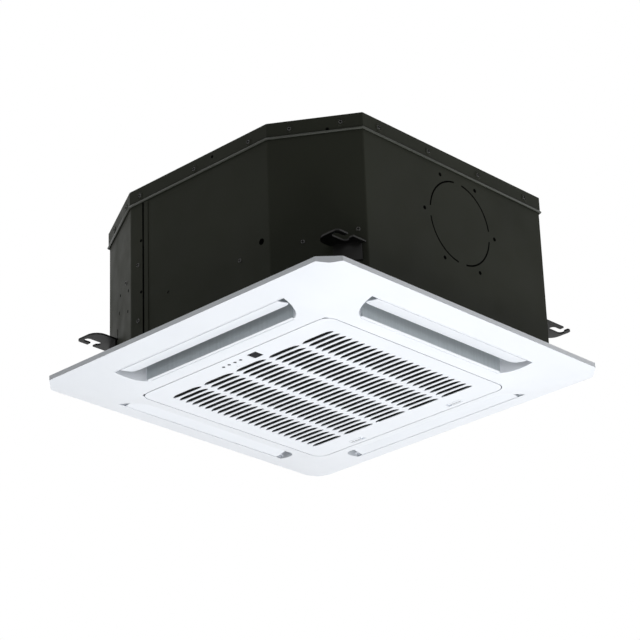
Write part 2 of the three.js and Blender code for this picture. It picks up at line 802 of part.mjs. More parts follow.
// The flap with its two end arms and its shafts, which reach startEnd and endEnd along y.
function flap(startEnd, endEnd) {
  const arms = [-1, 1].map((side) => {
    const [y0, y1] = [side * 166 - 1.2, side * 166 + 1.2];
    const arm = [
      [-277.5, -15.8],
      [-262, -13],
      [-274.8, -7.8],
      [-278.8, -7.8],
    ];
    const plate = extrude(shapeOf(arm), -y1, -y0).rotateX(Math.PI / 2);
    return join(solid(plate), rod(3.2, y0, y1, -FLAP_AXIS_R, FLAP_AXIS_Z));
  });
  return join(
    flapBlade(),
    ...arms,
    rod(FLAP_SHAFT, 165, startEnd, -FLAP_AXIS_R, FLAP_AXIS_Z),
    rod(FLAP_SHAFT, -endEnd, -165, -FLAP_AXIS_R, FLAP_AXIS_Z),
  );
}

const UP = new THREE.Vector3(0, 0, 1);
const GEAR_ROOT = GEAR_PITCH_RADIUS - 0.5;
const GEAR_NARROW = (GEAR_PITCH_RADIUS - GEAR_FACE) / GEAR_PITCH_RADIUS; // small end of the cone

// A mitre gear of 45 degrees; every tooth tapers towards the apex, where the two axes cross.
// It is built pointing along +z with its apex at the origin.
function mitreGear(phase) {
  const cone = lathe(
    [
      [0, -GEAR_PITCH_RADIUS - 3.4],
      [2.7, -GEAR_PITCH_RADIUS - 3.4],
      [GEAR_ROOT, -GEAR_PITCH_RADIUS],
      [GEAR_ROOT * GEAR_NARROW, -GEAR_PITCH_RADIUS * GEAR_NARROW],
      [0, -GEAR_PITCH_RADIUS * GEAR_NARROW],
    ],
    GEAR_TEETH,
  );
  const teeth = [];
  for (let i = 0; i < GEAR_TEETH; i += 1) {
    const angle = ((i + phase) * 2 * Math.PI) / GEAR_TEETH;
    const [back, front] = mitreTooth().map((end) => end.map((p) => p.applyAxisAngle(UP, angle)));
    teeth.push(bridge(back, front));
  }
  return join(cone, ...teeth);
}

// The four corners of one tooth at its wide end, then at its narrow end.
function mitreTooth() {
  const tip = GEAR_PITCH_RADIUS + 0.4;
  const foot = GEAR_ROOT - 0.3;
  const section = [
    [foot, -0.46],
    [tip, -0.2],
    [tip, 0.2],
    [foot, 0.46],
  ];
  return [1, GEAR_NARROW].map((scale) =>
    section.map(([r, t]) => new THREE.Vector3(r * scale, t * scale, -GEAR_PITCH_RADIUS * scale)),
  );
}

// A gear on the end of a flap's shaft: atEnd is true for the end towards negative y.
function flapGear(atEnd) {
  const made = mitreGear(atEnd ? 0 : 0.5);
  const bored = cut(made, cylinder(FLAP_SHAFT + GAP, -30, 0, 0, 0, 12));
  const shape = geometryOf(bored).rotateX(atEnd ? Math.PI / 2 : -Math.PI / 2);
  return solid(shape.translate(-APEX, atEnd ? -APEX : APEX, FLAP_AXIS_Z));
}

const MOTOR = { y0: 194, y1: 213, radius: 12.5, rise: 9 };

function swingMotor() {
  const body = rod(MOTOR.radius, MOTOR.y0, MOTOR.y1, -FLAP_AXIS_R, FLAP_AXIS_Z + MOTOR.rise, 24);
  const ears = box(-FLAP_AXIS_R - 19, -FLAP_AXIS_R + 19, MOTOR.y0, MOTOR.y0 + 1.2, -4, 3.5);
  return cut(join(body, ears), rod(FLAP_SHAFT + GAP, 180, 230, -FLAP_AXIS_R, FLAP_AXIS_Z));
}

// ---- Intake grille and what it carries --------------------------------------------------------
const LIGHTS = [34.5, 22, 9, -3.5]; // y of the four indicator lights
const LIGHT_X = -189.5;
const WINDOW = { x: -186.4, y: -32.6, half: 9.2 };
const BUTTON = { x: -176.5, y: 15, radius: 2.2 };
const LATCH = { x: 195, y: 108, halfX: 5.2, halfY: 15, travel: 6 };

// One slot seen from below: pointed at both ends and arched towards the hinge side.
function slotPath(x, y) {
  const outline = [
    [1.8, -SLOT_HALF],
    [4.6, -SLOT_HALF * 0.7],
    [4.6, SLOT_HALF * 0.7],
    [1.8, SLOT_HALF],
    [-3.2, 0],
  ];
  const path = new THREE.Path();
  path.setFromPoints(outline.map(([u, v]) => new THREE.Vector2(x + u, y + v)));
  return path;
}

function circlePath(x, y, radius, steps) {
  const path = new THREE.Path();
  const points = [];
  for (let i = 0; i < steps; i += 1) {
    const angle = (i * 2 * Math.PI) / steps;
    points.push(new THREE.Vector2(x + radius * Math.cos(angle), y + radius * Math.sin(angle)));
  }
  return path.setFromPoints(points);
}

function rectanglePath(x, y, halfX, halfY) {
  const corners = [[-1, -1], [1, -1], [1, 1], [-1, 1]];
  const points = corners.map(([u, v]) => new THREE.Vector2(x + u * halfX, y + v * halfY));
  return new THREE.Path().setFromPoints(points);
}

function grille() {
  const plate = roundedSquare(GRILLE_HALF, GRILLE_HALF, GRILLE_RADIUS);
  for (let row = 0; row < SLOT_ROWS; row += 1) {
    for (let column = 0; column < SLOT_COLUMNS; column += 1) {
      const y = COLUMN_MIDDLE + (column - (SLOT_COLUMNS - 1) / 2) * COLUMN_PITCH;
      plate.holes.push(slotPath(SLOT_FIRST + row * SLOT_PITCH, y));
    }
  }
  LIGHTS.forEach((y) => plate.holes.push(circlePath(LIGHT_X, y, 2.2, 10)));
  plate.holes.push(circlePath(BUTTON.x, BUTTON.y, BUTTON.radius + GAP, 12));
  plate.holes.push(rectanglePath(WINDOW.x, WINDOW.y, WINDOW.half + GAP, WINDOW.half + GAP));
  [-1, 1].forEach((side) =>
    plate.holes.push(rectanglePath(LATCH.x, side * LATCH.y, LATCH.halfX, LATCH.halfY)),
  );
  const skin = solid(extrude(plate, -FACE_DROP, GRILLE_SKIN - FACE_DROP, 5));
  const skirt = cut(block(203.2, 15, -29, -20), block(201.6, 13.4, -35, -10));
  const clear = [-1, 1].flatMap((side) => [
    box(-204, -201, side * HINGE.y - 10, side * HINGE.y + 10, GRILLE_SKIN - FACE_DROP, -15),
    box(201, 204, side * LATCH.y - 11, side * LATCH.y + 11, GRILLE_SKIN - FACE_DROP, -15),
  ]);
  const notches = [-1, 1].flatMap((side) => [-1, 1].map((leg) => {
    const y = side * HINGE.y + leg * 7;
    return join(
      rod(2, y - 2.6, y + 2.6, HINGE.x, HINGE.z, 12),
      box(-208, HINGE.x, y - 2.6, y + 2.6, HINGE.z - 2, HINGE.z),
    );
  }));
  const hooks = [-1, 1].map((side) =>
    rod(HINGE.barrel, side * HINGE.y - 4.2, side * HINGE.y + 4.2, HINGE.x, HINGE.z, 12),
  );
  const bores = [-1, 1].map((side) =>
    rod(HINGE.pin + GAP, side * HINGE.y - 9, side * HINGE.y + 9, HINGE.x, HINGE.z, 12),
  );
  return cut(join(cut(skin, ...notches), cut(skirt, ...clear), ...hooks), ...bores);
}

const BACK = GRILLE_SKIN - FACE_DROP + GAP; // height of what lies on the grille's back

function airFilter() {
  const frame = cut(
    box(-168, 166, -182, 184, BACK, BACK + 4),
    box(-162, 160, -176, 178, BACK + 1, BACK + 5),
  );
  const bars = [-56, 54].map((x) => box(x - 1.5, x + 1.5, -177, 179, BACK + 0.5, BACK + 4));
  const cross = [-58, 60].map((y) => box(-163, 161, y - 1.5, y + 1.5, BACK + 0.5, BACK + 4));
  return join(frame, ...bars, ...cross);
}

function lightGuide() {
  const posts = LIGHTS.map((y) => cylinder(1.8, -FACE_DROP + 0.2, -26, LIGHT_X, y, 10));
  return join(box(LIGHT_X - 3.5, LIGHT_X + 3.5, -8, 39, BACK, -25.2), ...posts);
}

function receiverWindow() {
  const { x, y, half } = WINDOW;
  return join(
    box(x - half, x + half, y - half, y + half, 0.2 - FACE_DROP, BACK + 1),
    box(x - half - 1.5, x + half + 1.5, y - half - 1.5, y + half + 1.5, BACK, -25.2),
  );
}

function pushButton() {
  const { x, y, radius } = BUTTON;
  return join(
    cylinder(radius, 0.3 - FACE_DROP, BACK + 0.5, x, y, 14),
    cylinder(radius + 1, BACK, BACK + 1.2, x, y, 14),
  );
}

const displayHousing = () => box(-199.5, -171.5, -50, 48, -24.9, -17.5);

function latch(side) {
  const [x0, x1] = [LATCH.x - 4.4, LATCH.x + 4.4];
  const ys = (a, b) => [side * a, side * b].sort((p, q) => p - q);
  return join(
    box(x0 - 3.5, x1 + 1, ...ys(LATCH.y - 17, LATCH.y + 22), BACK, BACK + 1.6),
    box(x0, x1, ...ys(LATCH.y - 7.5, LATCH.y + 14.4), -FACE_DROP, BACK + 1),
    box(x0, WELL_HALF - 0.4, ...ys(LATCH.y - 3, LATCH.y + 3), BACK + 1.2, BACK + 3.2),
  );
}

// ---- Assembly --------------------------------------------------------------------------------
piece("top_cover", topCover(), BLACK_SHEET);
piece("near_side_sheet", nearSideSheet(), BLACK_SHEET);
piece("left_corner_sheet", leftCornerSheet(), BLACK_SHEET);
piece("far_side_sheet", farSideSheet(), BLACK_SHEET);
piece("right_corner_sheet", rightCornerSheet(), BLACK_SHEET);
piece("foam_liner", foamLiner(), FOAM_WHITE);
piece("hanger_bracket_1", hangerBracket(NEAR_CHAMFER), BLACK_STEEL);
piece("hanger_bracket_2", hangerBracket(RIGHT_CHAMFER), BLACK_STEEL);
piece("hanger_bracket_3", hangerBracket(FAR_CHAMFER), BLACK_STEEL);
piece("hanger_bracket_4", hangerBracket(LEFT_CHAMFER), BLACK_STEEL);

piece("heat_exchanger", heatExchanger(), ALUMINIUM);
piece("coil_end_plate_1", coilEndPlate(true), ZINC_STEEL);
piece("coil_end_plate_2", coilEndPlate(false), ZINC_STEEL);
for (const pipe of PIPES) {
  piece(pipe.name + "_pipe", pipeStub(pipe), COPPER);
  piece(pipe.name + "_flare_nut", flareNut(pipe), BRASS);
}
piece("drain_pan", drainPan(), FOAM_DARK);
piece("drain_pump", drainPump(), DARK_PLASTIC);
piece("drain_socket", drainSocket(), DARK_PLASTIC);
piece("float_switch", floatSwitch(), DARK_PLASTIC);
piece("float_ring", floatRing(), FOAM_WHITE);

piece("bell_mouth", bellMouth(), DARK_PLASTIC);
piece("impeller", impeller(), DARK_PLASTIC);
piece("fan_motor", fanMotor(), ZINC_STEEL);
piece("motor_shaft", motorShaft(), ZINC_STEEL);
piece("fan_lock_nut", fanNut(), ZINC_STEEL);
piece("motor_bracket", motorBracket(), ZINC_STEEL);

piece("control_box", controlBox(), ZINC_STEEL);
piece("control_box_cover", controlBoxCover(), ZINC_STEEL);
piece("control_board", controlBoard(), BOARD_GREEN);
piece("terminal_block", terminalBlock(), DARK_PLASTIC);
piece("cable_grommet", cableGrommet(), DARK_PLASTIC);

piece("panel_frame", panelFrame(), PANEL_WHITE);
const SHAFT_END = GEAR_BACK + 2;
const PLAIN_END = RIB_Y + 5;
const MOTOR_END = MOTOR.y1 - 2;
const SHAFTS = [
  [MOTOR_END, SHAFT_END],
  [SHAFT_END, SHAFT_END],
  [SHAFT_END, SHAFT_END],
  [SHAFT_END, PLAIN_END],
];
SIDES.forEach((turn) => {
  const number = turn + 1;
  piece("air_duct_" + number, airDuct(), DUCT_GREY, turn);
  piece("flap_" + number, flap(...SHAFTS[turn]), PANEL_WHITE, turn);
  if (turn < 3) piece("mitre_gear_" + number + "_end", flapGear(true), GEAR_WHITE, turn);
  if (turn > 0) piece("mitre_gear_" + number + "_start", flapGear(false), GEAR_WHITE, turn);
});
piece("swing_motor", swingMotor(), ZINC_STEEL);

piece("grille", grille(), PANEL_WHITE);
piece("air_filter", airFilter(), DARK_PLASTIC);
piece("display_housing", displayHousing(), DARK_PLASTIC);
piece("light_guide", lightGuide(), LENS_SMOKE);
piece("receiver_window", receiverWindow(), GLOSS_BLACK);
piece("push_button", pushButton(), PANEL_WHITE);
piece("latch_1", latch(1), PANEL_WHITE);
piece("latch_2", latch(-1), PANEL_WHITE);

export default cassette;
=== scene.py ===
import json
import math

import bmesh
import bpy
from mathutils import Euler, Matrix, Vector

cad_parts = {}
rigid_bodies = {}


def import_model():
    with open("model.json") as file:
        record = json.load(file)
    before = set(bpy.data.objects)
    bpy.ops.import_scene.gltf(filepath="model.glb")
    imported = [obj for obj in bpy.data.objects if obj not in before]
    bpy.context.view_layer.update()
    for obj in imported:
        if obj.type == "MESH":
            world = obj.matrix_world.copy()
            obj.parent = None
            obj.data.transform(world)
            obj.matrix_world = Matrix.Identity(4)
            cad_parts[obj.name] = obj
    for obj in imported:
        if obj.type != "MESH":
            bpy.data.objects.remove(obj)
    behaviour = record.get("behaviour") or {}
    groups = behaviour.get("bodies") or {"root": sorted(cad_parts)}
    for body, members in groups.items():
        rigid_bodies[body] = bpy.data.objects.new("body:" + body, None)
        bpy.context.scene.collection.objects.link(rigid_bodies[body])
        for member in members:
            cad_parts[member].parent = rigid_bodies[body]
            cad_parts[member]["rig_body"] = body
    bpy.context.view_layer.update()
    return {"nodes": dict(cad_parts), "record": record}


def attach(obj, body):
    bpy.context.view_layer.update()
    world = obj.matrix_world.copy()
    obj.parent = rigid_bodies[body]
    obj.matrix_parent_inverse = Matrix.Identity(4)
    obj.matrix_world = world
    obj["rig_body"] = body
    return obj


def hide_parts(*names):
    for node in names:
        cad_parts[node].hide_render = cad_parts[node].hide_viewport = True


# A four-way ceiling cassette air conditioner, seen from below and outside. Shapes are built in
# millimetres and put in place in metres: z = 0 is the ceiling plane that the panel's rim closes
# against, and x = y = 0 is the panel's centre.
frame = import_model()
nodes = frame["nodes"]
slot_of = {part["node"]: part["material_slot"] for part in frame["record"]["subparts"]}

# ---- Dimensions shared with the solids, in millimetres ------------------------------------------
PANEL_HALF = 323.5
PANEL_CHAMFER = 28.6
RIM = 8.0
FACE_DROP = 30.7
FACE_HALF = 211.0
SLOPE = (FACE_DROP - RIM) / (PANEL_HALF - FACE_HALF)
WELL_HALF = 209.2
WELL_RADIUS = 21.0
GRILLE_HALF = 207.6
GRILLE_RADIUS = 19.0
GRILLE_SKIN = 2.5
SKIN_BACK = GRILLE_SKIN - FACE_DROP
SLOT_ROWS = 24
SLOT_PITCH = 14.0
SLOT_FIRST = -163.3
SLOT_COLUMNS = 5
COLUMN_PITCH = 72.4
COLUMN_MIDDLE = 1.5
SLOT_HALF = 33.2
LIGHTS = (34.5, 22.0, 9.0, -3.5)
LIGHT_X = -189.5
WINDOW = (-186.4, -32.6, 9.2)  # x and y of its centre, and half its side
BUTTON = (-176.5, 15.0, 2.2)  # x and y of its centre, and its radius
LATCH_X = 195.0
LATCH_Y = 108.0
HINGE_X = -205.2
HINGE_Z = -27.8
HINGE_Y = 120.0
FLAP_AXIS_R = 276.8
FLAP_AXIS_Z = -10.5
FLAP_HALF = 174.0
FLAP_INNER = 249.5
FLAP_CORNER = 11.0
ARM_Y = 166.0
UNIT_BOTTOM = 24.0
LIP_BOTTOM = 257.0
COVER_PROUD = 1.8
PORT_Z = 23.7
KNOCKOUT = (17.0, 169.0, 71.0)  # x and z of its centre, and its radius
CASING = [
    (-283, -165),
    (-202, -290),
    (222, -290),
    (285, -140),
    (285, 155),
    (205, 280),
    (-209, 280),
    (-283, 146),
]


# ---- Finishes ----------------------------------------------------------------------------------
def linear(code):
    """An sRGB hex colour as the linear colour that the shaders take."""
    parts = [int(code[i : i + 2], 16) / 255 for i in (1, 3, 5)]
    return [p / 12.92 if p <= 0.04045 else ((p + 0.055) / 1.055) ** 2.4 for p in parts] + [1.0]


def add_node(tree, kind, inputs=None, **settings):
    """Adds a node with its settings; an input that is a socket is linked, any other is a value."""
    node = tree.nodes.new(kind)
    for name, value in settings.items():
        setattr(node, name, value)
    for key, value in (inputs or {}).items():
        if isinstance(value, bpy.types.NodeSocket):
            tree.links.new(value, node.inputs[key])
        else:
            node.inputs[key].default_value = value
    return node


def coat(name, code, roughness, metallic=0.0, **more):
    """A material with one shader, to which patterns are added; gives its tree too."""
    material = bpy.data.materials.new(name)
    material.use_nodes = True
    material.diffuse_color = linear(code)
    tree = material.node_tree
    tree.nodes.clear()
    values = {"Base Color": linear(code), "Roughness": roughness, "Metallic": metallic}
    values.update({key.replace("_", " "): value for key, value in more.items()})
    shader = add_node(tree, "ShaderNodeBsdfPrincipled", values)
    add_node(tree, "ShaderNodeOutputMaterial", {"Surface": shader.outputs[0]})
    return material, tree


def blots(tree, size, stretch=(1, 1, 1), detail=3.0):
    """Soft noise whose blots are about `size` millimetres across, longer where stretch is under 1."""
    spot = add_node(tree, "ShaderNodeTexCoord").outputs["Object"]
    spot = add_node(tree, "ShaderNodeMapping", {"Vector": spot, "Scale": stretch}).outputs[0]
    return add_node(
        tree, "ShaderNodeTexNoise", {"Vector": spot, "Scale": 1000 / size, "Detail": detail}
    ).outputs[0]


def cells(tree, size, stretch=(1, 1, 1), feature="F1", output="Distance"):
    """Packed cells about `size` millimetres across, as beads, crystals or pores."""
    spot = add_node(tree, "ShaderNodeTexCoord").outputs["Object"]
    spot = add_node(tree, "ShaderNodeMapping", {"Vector": spot, "Scale": stretch}).outputs[0]
    return add_node(
        tree, "ShaderNodeTexVoronoi", {"Vector": spot, "Scale": 1000 / size}, feature=feature
    ).outputs[output]


def crossed_lines(tree, pitch, operation):
    """Even stripes `pitch` millimetres apart along x and along y, put together as a grid."""
    spot = add_node(tree, "ShaderNodeTexCoord").outputs["Object"]
    values = {"Vector": spot, "Scale": 2 * math.pi / 20 * 1000 / pitch}
    x, y = (
        add_node(tree, "ShaderNodeTexWave", values, bands_direction=way).outputs["Fac"]
        for way in ("X", "Y")
    )
    return add_node(tree, "ShaderNodeMath", {0: x, 1: y}, operation=operation).outputs[0]


def spread(tree, factor, low, high, start=0.3, end=0.7):
    """A pattern's middle range, stretched to run from low to high."""
    values = {"Value": factor, "From Min": start, "From Max": end, "To Min": low, "To Max": high}
    return add_node(tree, "ShaderNodeMapRange", values).outputs[0]


def feed(tree, name, value):
    """Links a pattern to one of the shader's inputs."""
    tree.links.new(value, tree.nodes["Principled BSDF"].inputs[name])


def colour(tree, factor, low, high):
    """Colours the surface between two colours, by a pattern from 0 to 1."""
    values = {0: factor, 6: linear(low), 7: linear(high)}
    feed(tree, "Base Color", add_node(tree, "ShaderNodeMix", values, data_type="RGBA").outputs[2])


def dull(tree, pattern, low, high, start=0.3, end=0.7):
    """Lets the roughness run from low to high over a pattern's middle range."""
    feed(tree, "Roughness", spread(tree, pattern, low, high, start, end))


def relief(tree, height, depth, strength):
    """Raises the surface by `depth` millimetres where the pattern is 1."""
    values = {"Height": height, "Distance": depth / 1000, "Strength": strength}
    feed(tree, "Normal", add_node(tree, "ShaderNodeBump", values).outputs[0])


def satin_black_enamel(name, low, high, roughness, level):
    """Sprayed and baked enamel on steel sheet: orange peel breaks up its dull shine."""
    material, tree = coat(name, low, roughness, Specular_IOR_Level=level)
    colour(tree, spread(tree, blots(tree, 160), 0, 1), low, high)
    dull(tree, blots(tree, 40), roughness - 0.05, roughness + 0.07)
    relief(tree, blots(tree, 2.2, detail=1.0), 0.03, 0.5)
    return material


# Baked enamel on the casing: a dull black with a slight green cast.
CASE_ENAMEL = satin_black_enamel("satin_black_enamel", "#33352E", "#3A3C34", 0.52, 0.05)
# The same on the bent plates of the hangers, wetter and darker.
HANGER_ENAMEL = satin_black_enamel("hanger_black_enamel", "#0E0E0D", "#161615", 0.35, 0.2)
# Painted highlight on the cover's folded edge: the casing's enamel made lighter and shinier, so that the
# hem reads as a lit line.
HEM_HIGHLIGHT_ENAMEL = satin_black_enamel("hem_painted_highlight_enamel", "#3D403A", "#474A43", 0.4, 0.35)


def moulded_abs(name, low, high, roughness, grain, depth):
    """Injection-moulded ABS with a spark-eroded skin, whose grain spreads each highlight."""
    material, tree = coat(name, high, roughness, IOR=1.52)
    colour(tree, spread(tree, blots(tree, 90), 0, 1), low, high)
    dull(tree, blots(tree, 25), roughness - 0.03, roughness + 0.04)
    relief(tree, blots(tree, grain, detail=2.0), depth, 0.4)
    return material


# The panel's skin: a cool white with a half-dull shine. Its grain is 0.3 mm on the real one and
# is drawn at 1.1 mm, so that it shows.
PANEL_ABS = moulded_abs("white_moulded_abs", "#E6EAF0", "#E9EDF3", 0.4, 1.1, 0.02)
# Black ABS of the fan, pump and housings: deeper grain, a softer shine.
BLACK_ABS = moulded_abs("black_moulded_abs", "#191A1C", "#212225", 0.48, 1.6, 0.04)
# Natural acetal of the gears: a warm white, waxy look.
GEAR_ACETAL = moulded_abs("natural_acetal", "#DEDBCF", "#E6E3D8", 0.35, 0.8, 0.01)


def duct_moulding():
    """Blue-grey ABS of the outlets' throats, drawn from the mould with upright drag lines."""
    material, tree = coat("grey_duct_abs", "#AEB6BB", 0.55, Specular_IOR_Level=0.3)
    # Drag lines are constant in height, about 5 mm apart, and show as faint upright streaks.
    streak = spread(tree, blots(tree, 5, stretch=(1, 1, 0.05), detail=2.0), 0, 1)
    colour(tree, streak, "#AAB2B7", "#B2BABF")
    relief(tree, streak, 0.02, 0.4)
    return material


DUCT_ABS = duct_moulding()


def galvanised_steel():
    """Hot-dip galvanised sheet: crystals of zinc 6 to 10 mm across, each with its own sheen."""
    material, tree = coat("galvanised_steel", "#A4A6A8", 0.38, 1.0)
    crystal = cells(tree, 8, output="Color")
    grey = add_node(tree, "ShaderNodeRGBToBW", {0: crystal}).outputs[0]
    colour(tree, grey, "#8E9193", "#B4B7B9")
    dull(tree, grey, 0.28, 0.5, 0.0, 1.0)
    relief(tree, blots(tree, 12), 0.03, 0.3)
    return material


ZINC = galvanised_steel()


def coil_fins():
    """Aluminium fins, edge on: upright blades 1.8 mm apart, drawn at 3.6 mm so that they show, with the
    gaps between them darkened as painted shade.
    """
    material, tree = coat("aluminium_fins", "#B9BDC0", 0.42, 1.0)
    gap = crossed_lines(tree, 3.6, "MULTIPLY")
    # Painted shade: the dark lines are the gaps between the fins, where shade falls.
    colour(tree, spread(tree, gap, 0, 1, 0.05, 0.5), "#4A4E51", "#BEC2C5")
    dull(tree, blots(tree, 22, stretch=(1, 1, 0.3)), 0.36, 0.55)
    relief(tree, gap, 1.0, 0.8)
    return material


FINS = coil_fins()


def drawn_tube(name, low, high, roughness):
    """Drawn or turned copper alloy: fine marks along the work, with patches of tarnish."""
    material, tree = coat(name, high, roughness, 1.0)
    colour(tree, spread(tree, blots(tree, 14), 0, 1), low, high)
    marks = blots(tree, 0.9, stretch=(0.1, 0.1, 1))
    dull(tree, marks, roughness - 0.06, roughness + 0.1)
    relief(tree, marks, 0.01, 0.3)
    return material


# Refrigerant tube: bright orange copper dulled to brown in places.
COPPER = drawn_tube("drawn_copper", "#9C6646", "#BF8058", 0.28)
# Flare nuts: turned from brass bar, yellow with faint turning marks.
BRASS = drawn_tube("turned_brass", "#A08A4C", "#BCA061", 0.25)


def bead_foam(name, low, high, bead):
    """Steam-moulded polystyrene: flattened beads packed together, dull and slightly pitted."""
    material, tree = coat(name, high, 0.85, Specular_IOR_Level=0.3)
    ball = cells(tree, bead)
    colour(tree, spread(tree, ball, 1, 0, 0.2, 0.7), low, high)
    relief(tree, ball, -0.35, 0.7)
    return material


# Lining of the casing: white beads of 4 mm.
LINING_FOAM = bead_foam("white_bead_foam", "#CDCFD0", "#DCDEDF", 4.0)
# Drain pan: the same foam under a dark hard skin, beads showing faintly.
PAN_FOAM = bead_foam("dark_skinned_foam", "#303133", "#3C3D40", 4.5)


def solder_mask():
    """Glass-epoxy board under green lacquer: copper tracks show as a paler green."""
    material, tree = coat("green_solder_mask", "#255038", 0.3, Coat_Weight=0.3)
    tracks = cells(tree, 7, stretch=(1, 0.4, 1), feature="DISTANCE_TO_EDGE")
    pale = spread(tree, tracks, 1, 0, 0.03, 0.09)
    colour(tree, pale, "#23492F", "#3F7A4E")
    relief(tree, pale, 0.05, 0.5)
    return material


BOARD = solder_mask()


def smoked_acrylic(name, low, high):
    """Dark acrylic with a matt anti-glare face: reads as near black, hardly mirrors anything."""
    material, tree = coat(name, low, 0.3, IOR=1.49, Specular_IOR_Level=0.03)
    colour(tree, spread(tree, blots(tree, 9), 0, 1), low, high)
    dull(tree, blots(tree, 3), 0.3, 0.35)
    return material


# Light guide and its ends in the four indicator holes, unlit: a dark blue-grey.
LENS = smoked_acrylic("smoked_acrylic", "#1A1B1F", "#24262B")
# Remote receiver's infrared window, a shade deeper.
IR_WINDOW = smoked_acrylic("infrared_acrylic", "#141519", "#1D1F24")


def black_rubber():
    """Moulded rubber with a chalky bloom, no shine at all where it is worn."""
    material, tree = coat("black_rubber", "#1E1E1F", 0.75, Specular_IOR_Level=0.3)
    colour(tree, spread(tree, blots(tree, 6), 0, 1), "#19191A", "#272728")
    relief(tree, blots(tree, 1.2), 0.05, 0.4)
    return material


RUBBER = black_rubber()
# Painted shade: the unlit inside of a hole, gap or groove, drawn as a nearly black colour with no shine.
CAVITY_SHADE = satin_black_enamel("unlit_casing_inside", "#050505", "#0B0B0A", 0.9, 0.0)


def filter_net():
    """Woven polypropylene net, threads 1.2 mm apart, drawn at 1.6 mm: black with a faint weave, and
    opaque, so that it is also painted shade for the unit's unlit inside behind the slots.
    """
    material, tree = coat("filter_net_and_painted_shade", "#0B0B0C", 0.7, Specular_IOR_Level=0.15)
    weave = crossed_lines(tree, 1.6, "MAXIMUM")
    colour(tree, spread(tree, weave, 0, 1, 0.5, 1.0), "#050505", "#101011")
    relief(tree, weave, 0.3, 0.6)
    return material


NET_AND_INNER_SHADE = filter_net()
# Screws of the casing, blackened: they read as dark dots with a faint shine.
SCREW_BLACK = satin_black_enamel("blackened_screw", "#1A1B18", "#262722", 0.4, 0.5)

FINISH = {
    "black_sheet": CASE_ENAMEL,
    "black_steel": HANGER_ENAMEL,
    "foam_white": LINING_FOAM,
    "foam_dark": PAN_FOAM,
    "fins": FINS,
    "zinc_steel": ZINC,
    "copper": COPPER,
    "brass": BRASS,
    "dark_plastic": BLACK_ABS,
    "board": BOARD,
    "panel_white": PANEL_ABS,
    "duct_grey": DUCT_ABS,
    "gear_white": GEAR_ACETAL,
    "lens": LENS,
    "gloss_black": IR_WINDOW,
    "rubber": RUBBER,
}


# ---- Making shapes -----------------------------------------------------------------------------
def place(name, shape, finish, body, stands_for=(), angle=32, wall=0.0, edge=0.0):
    """Puts a shape built in millimetres on its body, in metres.

    wall gives an open skin that thickness behind its face; edge rounds what is sharp after that.
    """
    bmesh.ops.transform(shape, matrix=Matrix.Scale(0.001, 4), verts=shape.verts)
    for face in shape.faces:
        face.smooth = True
    for side in shape.edges:
        if len(side.link_faces) == 2 and side.calc_face_angle() > math.radians(angle):
            side.smooth = False
    data = bpy.data.meshes.new(name)
    shape.to_mesh(data)
    shape.free()
    piece = bpy.data.objects.new(name, data)
    bpy.context.scene.collection.objects.link(piece)
    piece.data.materials.append(finish)
    if wall:
        skin = piece.modifiers.new("wall", "SOLIDIFY")
        skin.thickness = wall / 1000
        skin.offset = -1
        skin.use_even_offset = True
        skin.thickness_clamp = 1.0
    if edge:
        round_off = piece.modifiers.new("edges", "BEVEL")
        round_off.width = edge / 1000
        round_off.segments = 2
        round_off.limit_method = "ANGLE"
        round_off.angle_limit = math.radians(angle)
        round_off.miter_outer = "MITER_ARC"
    even = piece.modifiers.new("even_shading", "WEIGHTED_NORMAL")
    even.keep_sharp = not edge
    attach(piece, body)
    if stands_for:
        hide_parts(*stands_for)


def sheet_of(columns, rows, where):
    """A grid of faces, each corner moved to where(column, row)."""
    shape = bmesh.new()
    bmesh.ops.create_grid(shape, x_segments=columns, y_segments=rows, size=0.5)
    for corner in shape.verts:
        column = round((corner.co.x + 0.5) * columns)
        row = round((corner.co.y + 0.5) * rows)
        corner.co = where(column, row)
    return shape


def take_in(shape, other, *moves):
    """Adds another shape to this one, once for each move, and lets go of it."""
    data = bpy.data.meshes.new("part")
    other.to_mesh(data)
    other.free()
    for move in moves or (Matrix(),):
        copy = data.copy()
        copy.transform(move)
        shape.from_mesh(copy)
        bpy.data.meshes.remove(copy)
    bpy.data.meshes.remove(data)


def at_side(shape, side):
    """A shape made for the first side of the panel, turned about the centre to another."""
    bmesh.ops.transform(shape, matrix=QUARTERS[side], verts=shape.verts)
    return shape


QUARTERS = [Matrix.Rotation(turn * math.pi / 2, 4, "Z") for turn in range(4)]


def closed_loop(shape, points):
    """Corners joined in a ring, in order."""
    corners = [shape.verts.new(point) for point in points]
    for a, b in zip(corners, corners[1:] + corners[:1]):
        shape.edges.new((a, b))
    return corners


def ring_edges(shape, corners):
    """The edges of such a ring."""
    return [shape.edges.get((a, b)) for a, b in zip(corners, corners[1:] + corners[:1])]


def drawn_on(shape, corners, points):
    """Extrudes a ring of corners to new points and gives the new ring."""
    made = bmesh.ops.extrude_edge_only(shape, edges=ring_edges(shape, corners))["geom"]
    fresh = {part for part in made if isinstance(part, bmesh.types.BMVert)}
    ring = [
        next(e.other_vert(corner) for e in corner.link_edges if e.other_vert(corner) in fresh)
        for corner in corners
    ]
    for twin, point in zip(ring, points):
        twin.co = point
    return ring


def merge_close(shape, distance):
    bmesh.ops.remove_doubles(shape, verts=shape.verts, dist=distance)


def face_out(shape):
    bmesh.ops.recalc_face_normals(shape, faces=shape.faces)


def face_down_axis(shape, sample, axis):
    """Makes an open skin's faces agree, so that the sample looks to the negative end of an axis."""
    face_out(shape)
    if sample.normal[axis] > 0:
        bmesh.ops.reverse_faces(shape, faces=shape.faces)


def block(x0, x1, y0, y1, z0, z1):
    """A box between two corners."""
    shape = bmesh.new()
    size = Matrix.Diagonal((x1 - x0, y1 - y0, z1 - z0, 1))
    middle = Matrix.Translation(((x0 + x1) / 2, (y0 + y1) / 2, (z0 + z1) / 2))
    bmesh.ops.create_cube(shape, size=1, matrix=middle @ size)
    return shape


def aimed(way):
    """The turn that points the z axis along a direction."""
    return Vector(way).to_track_quat("Z", "Y").to_matrix().to_4x4()


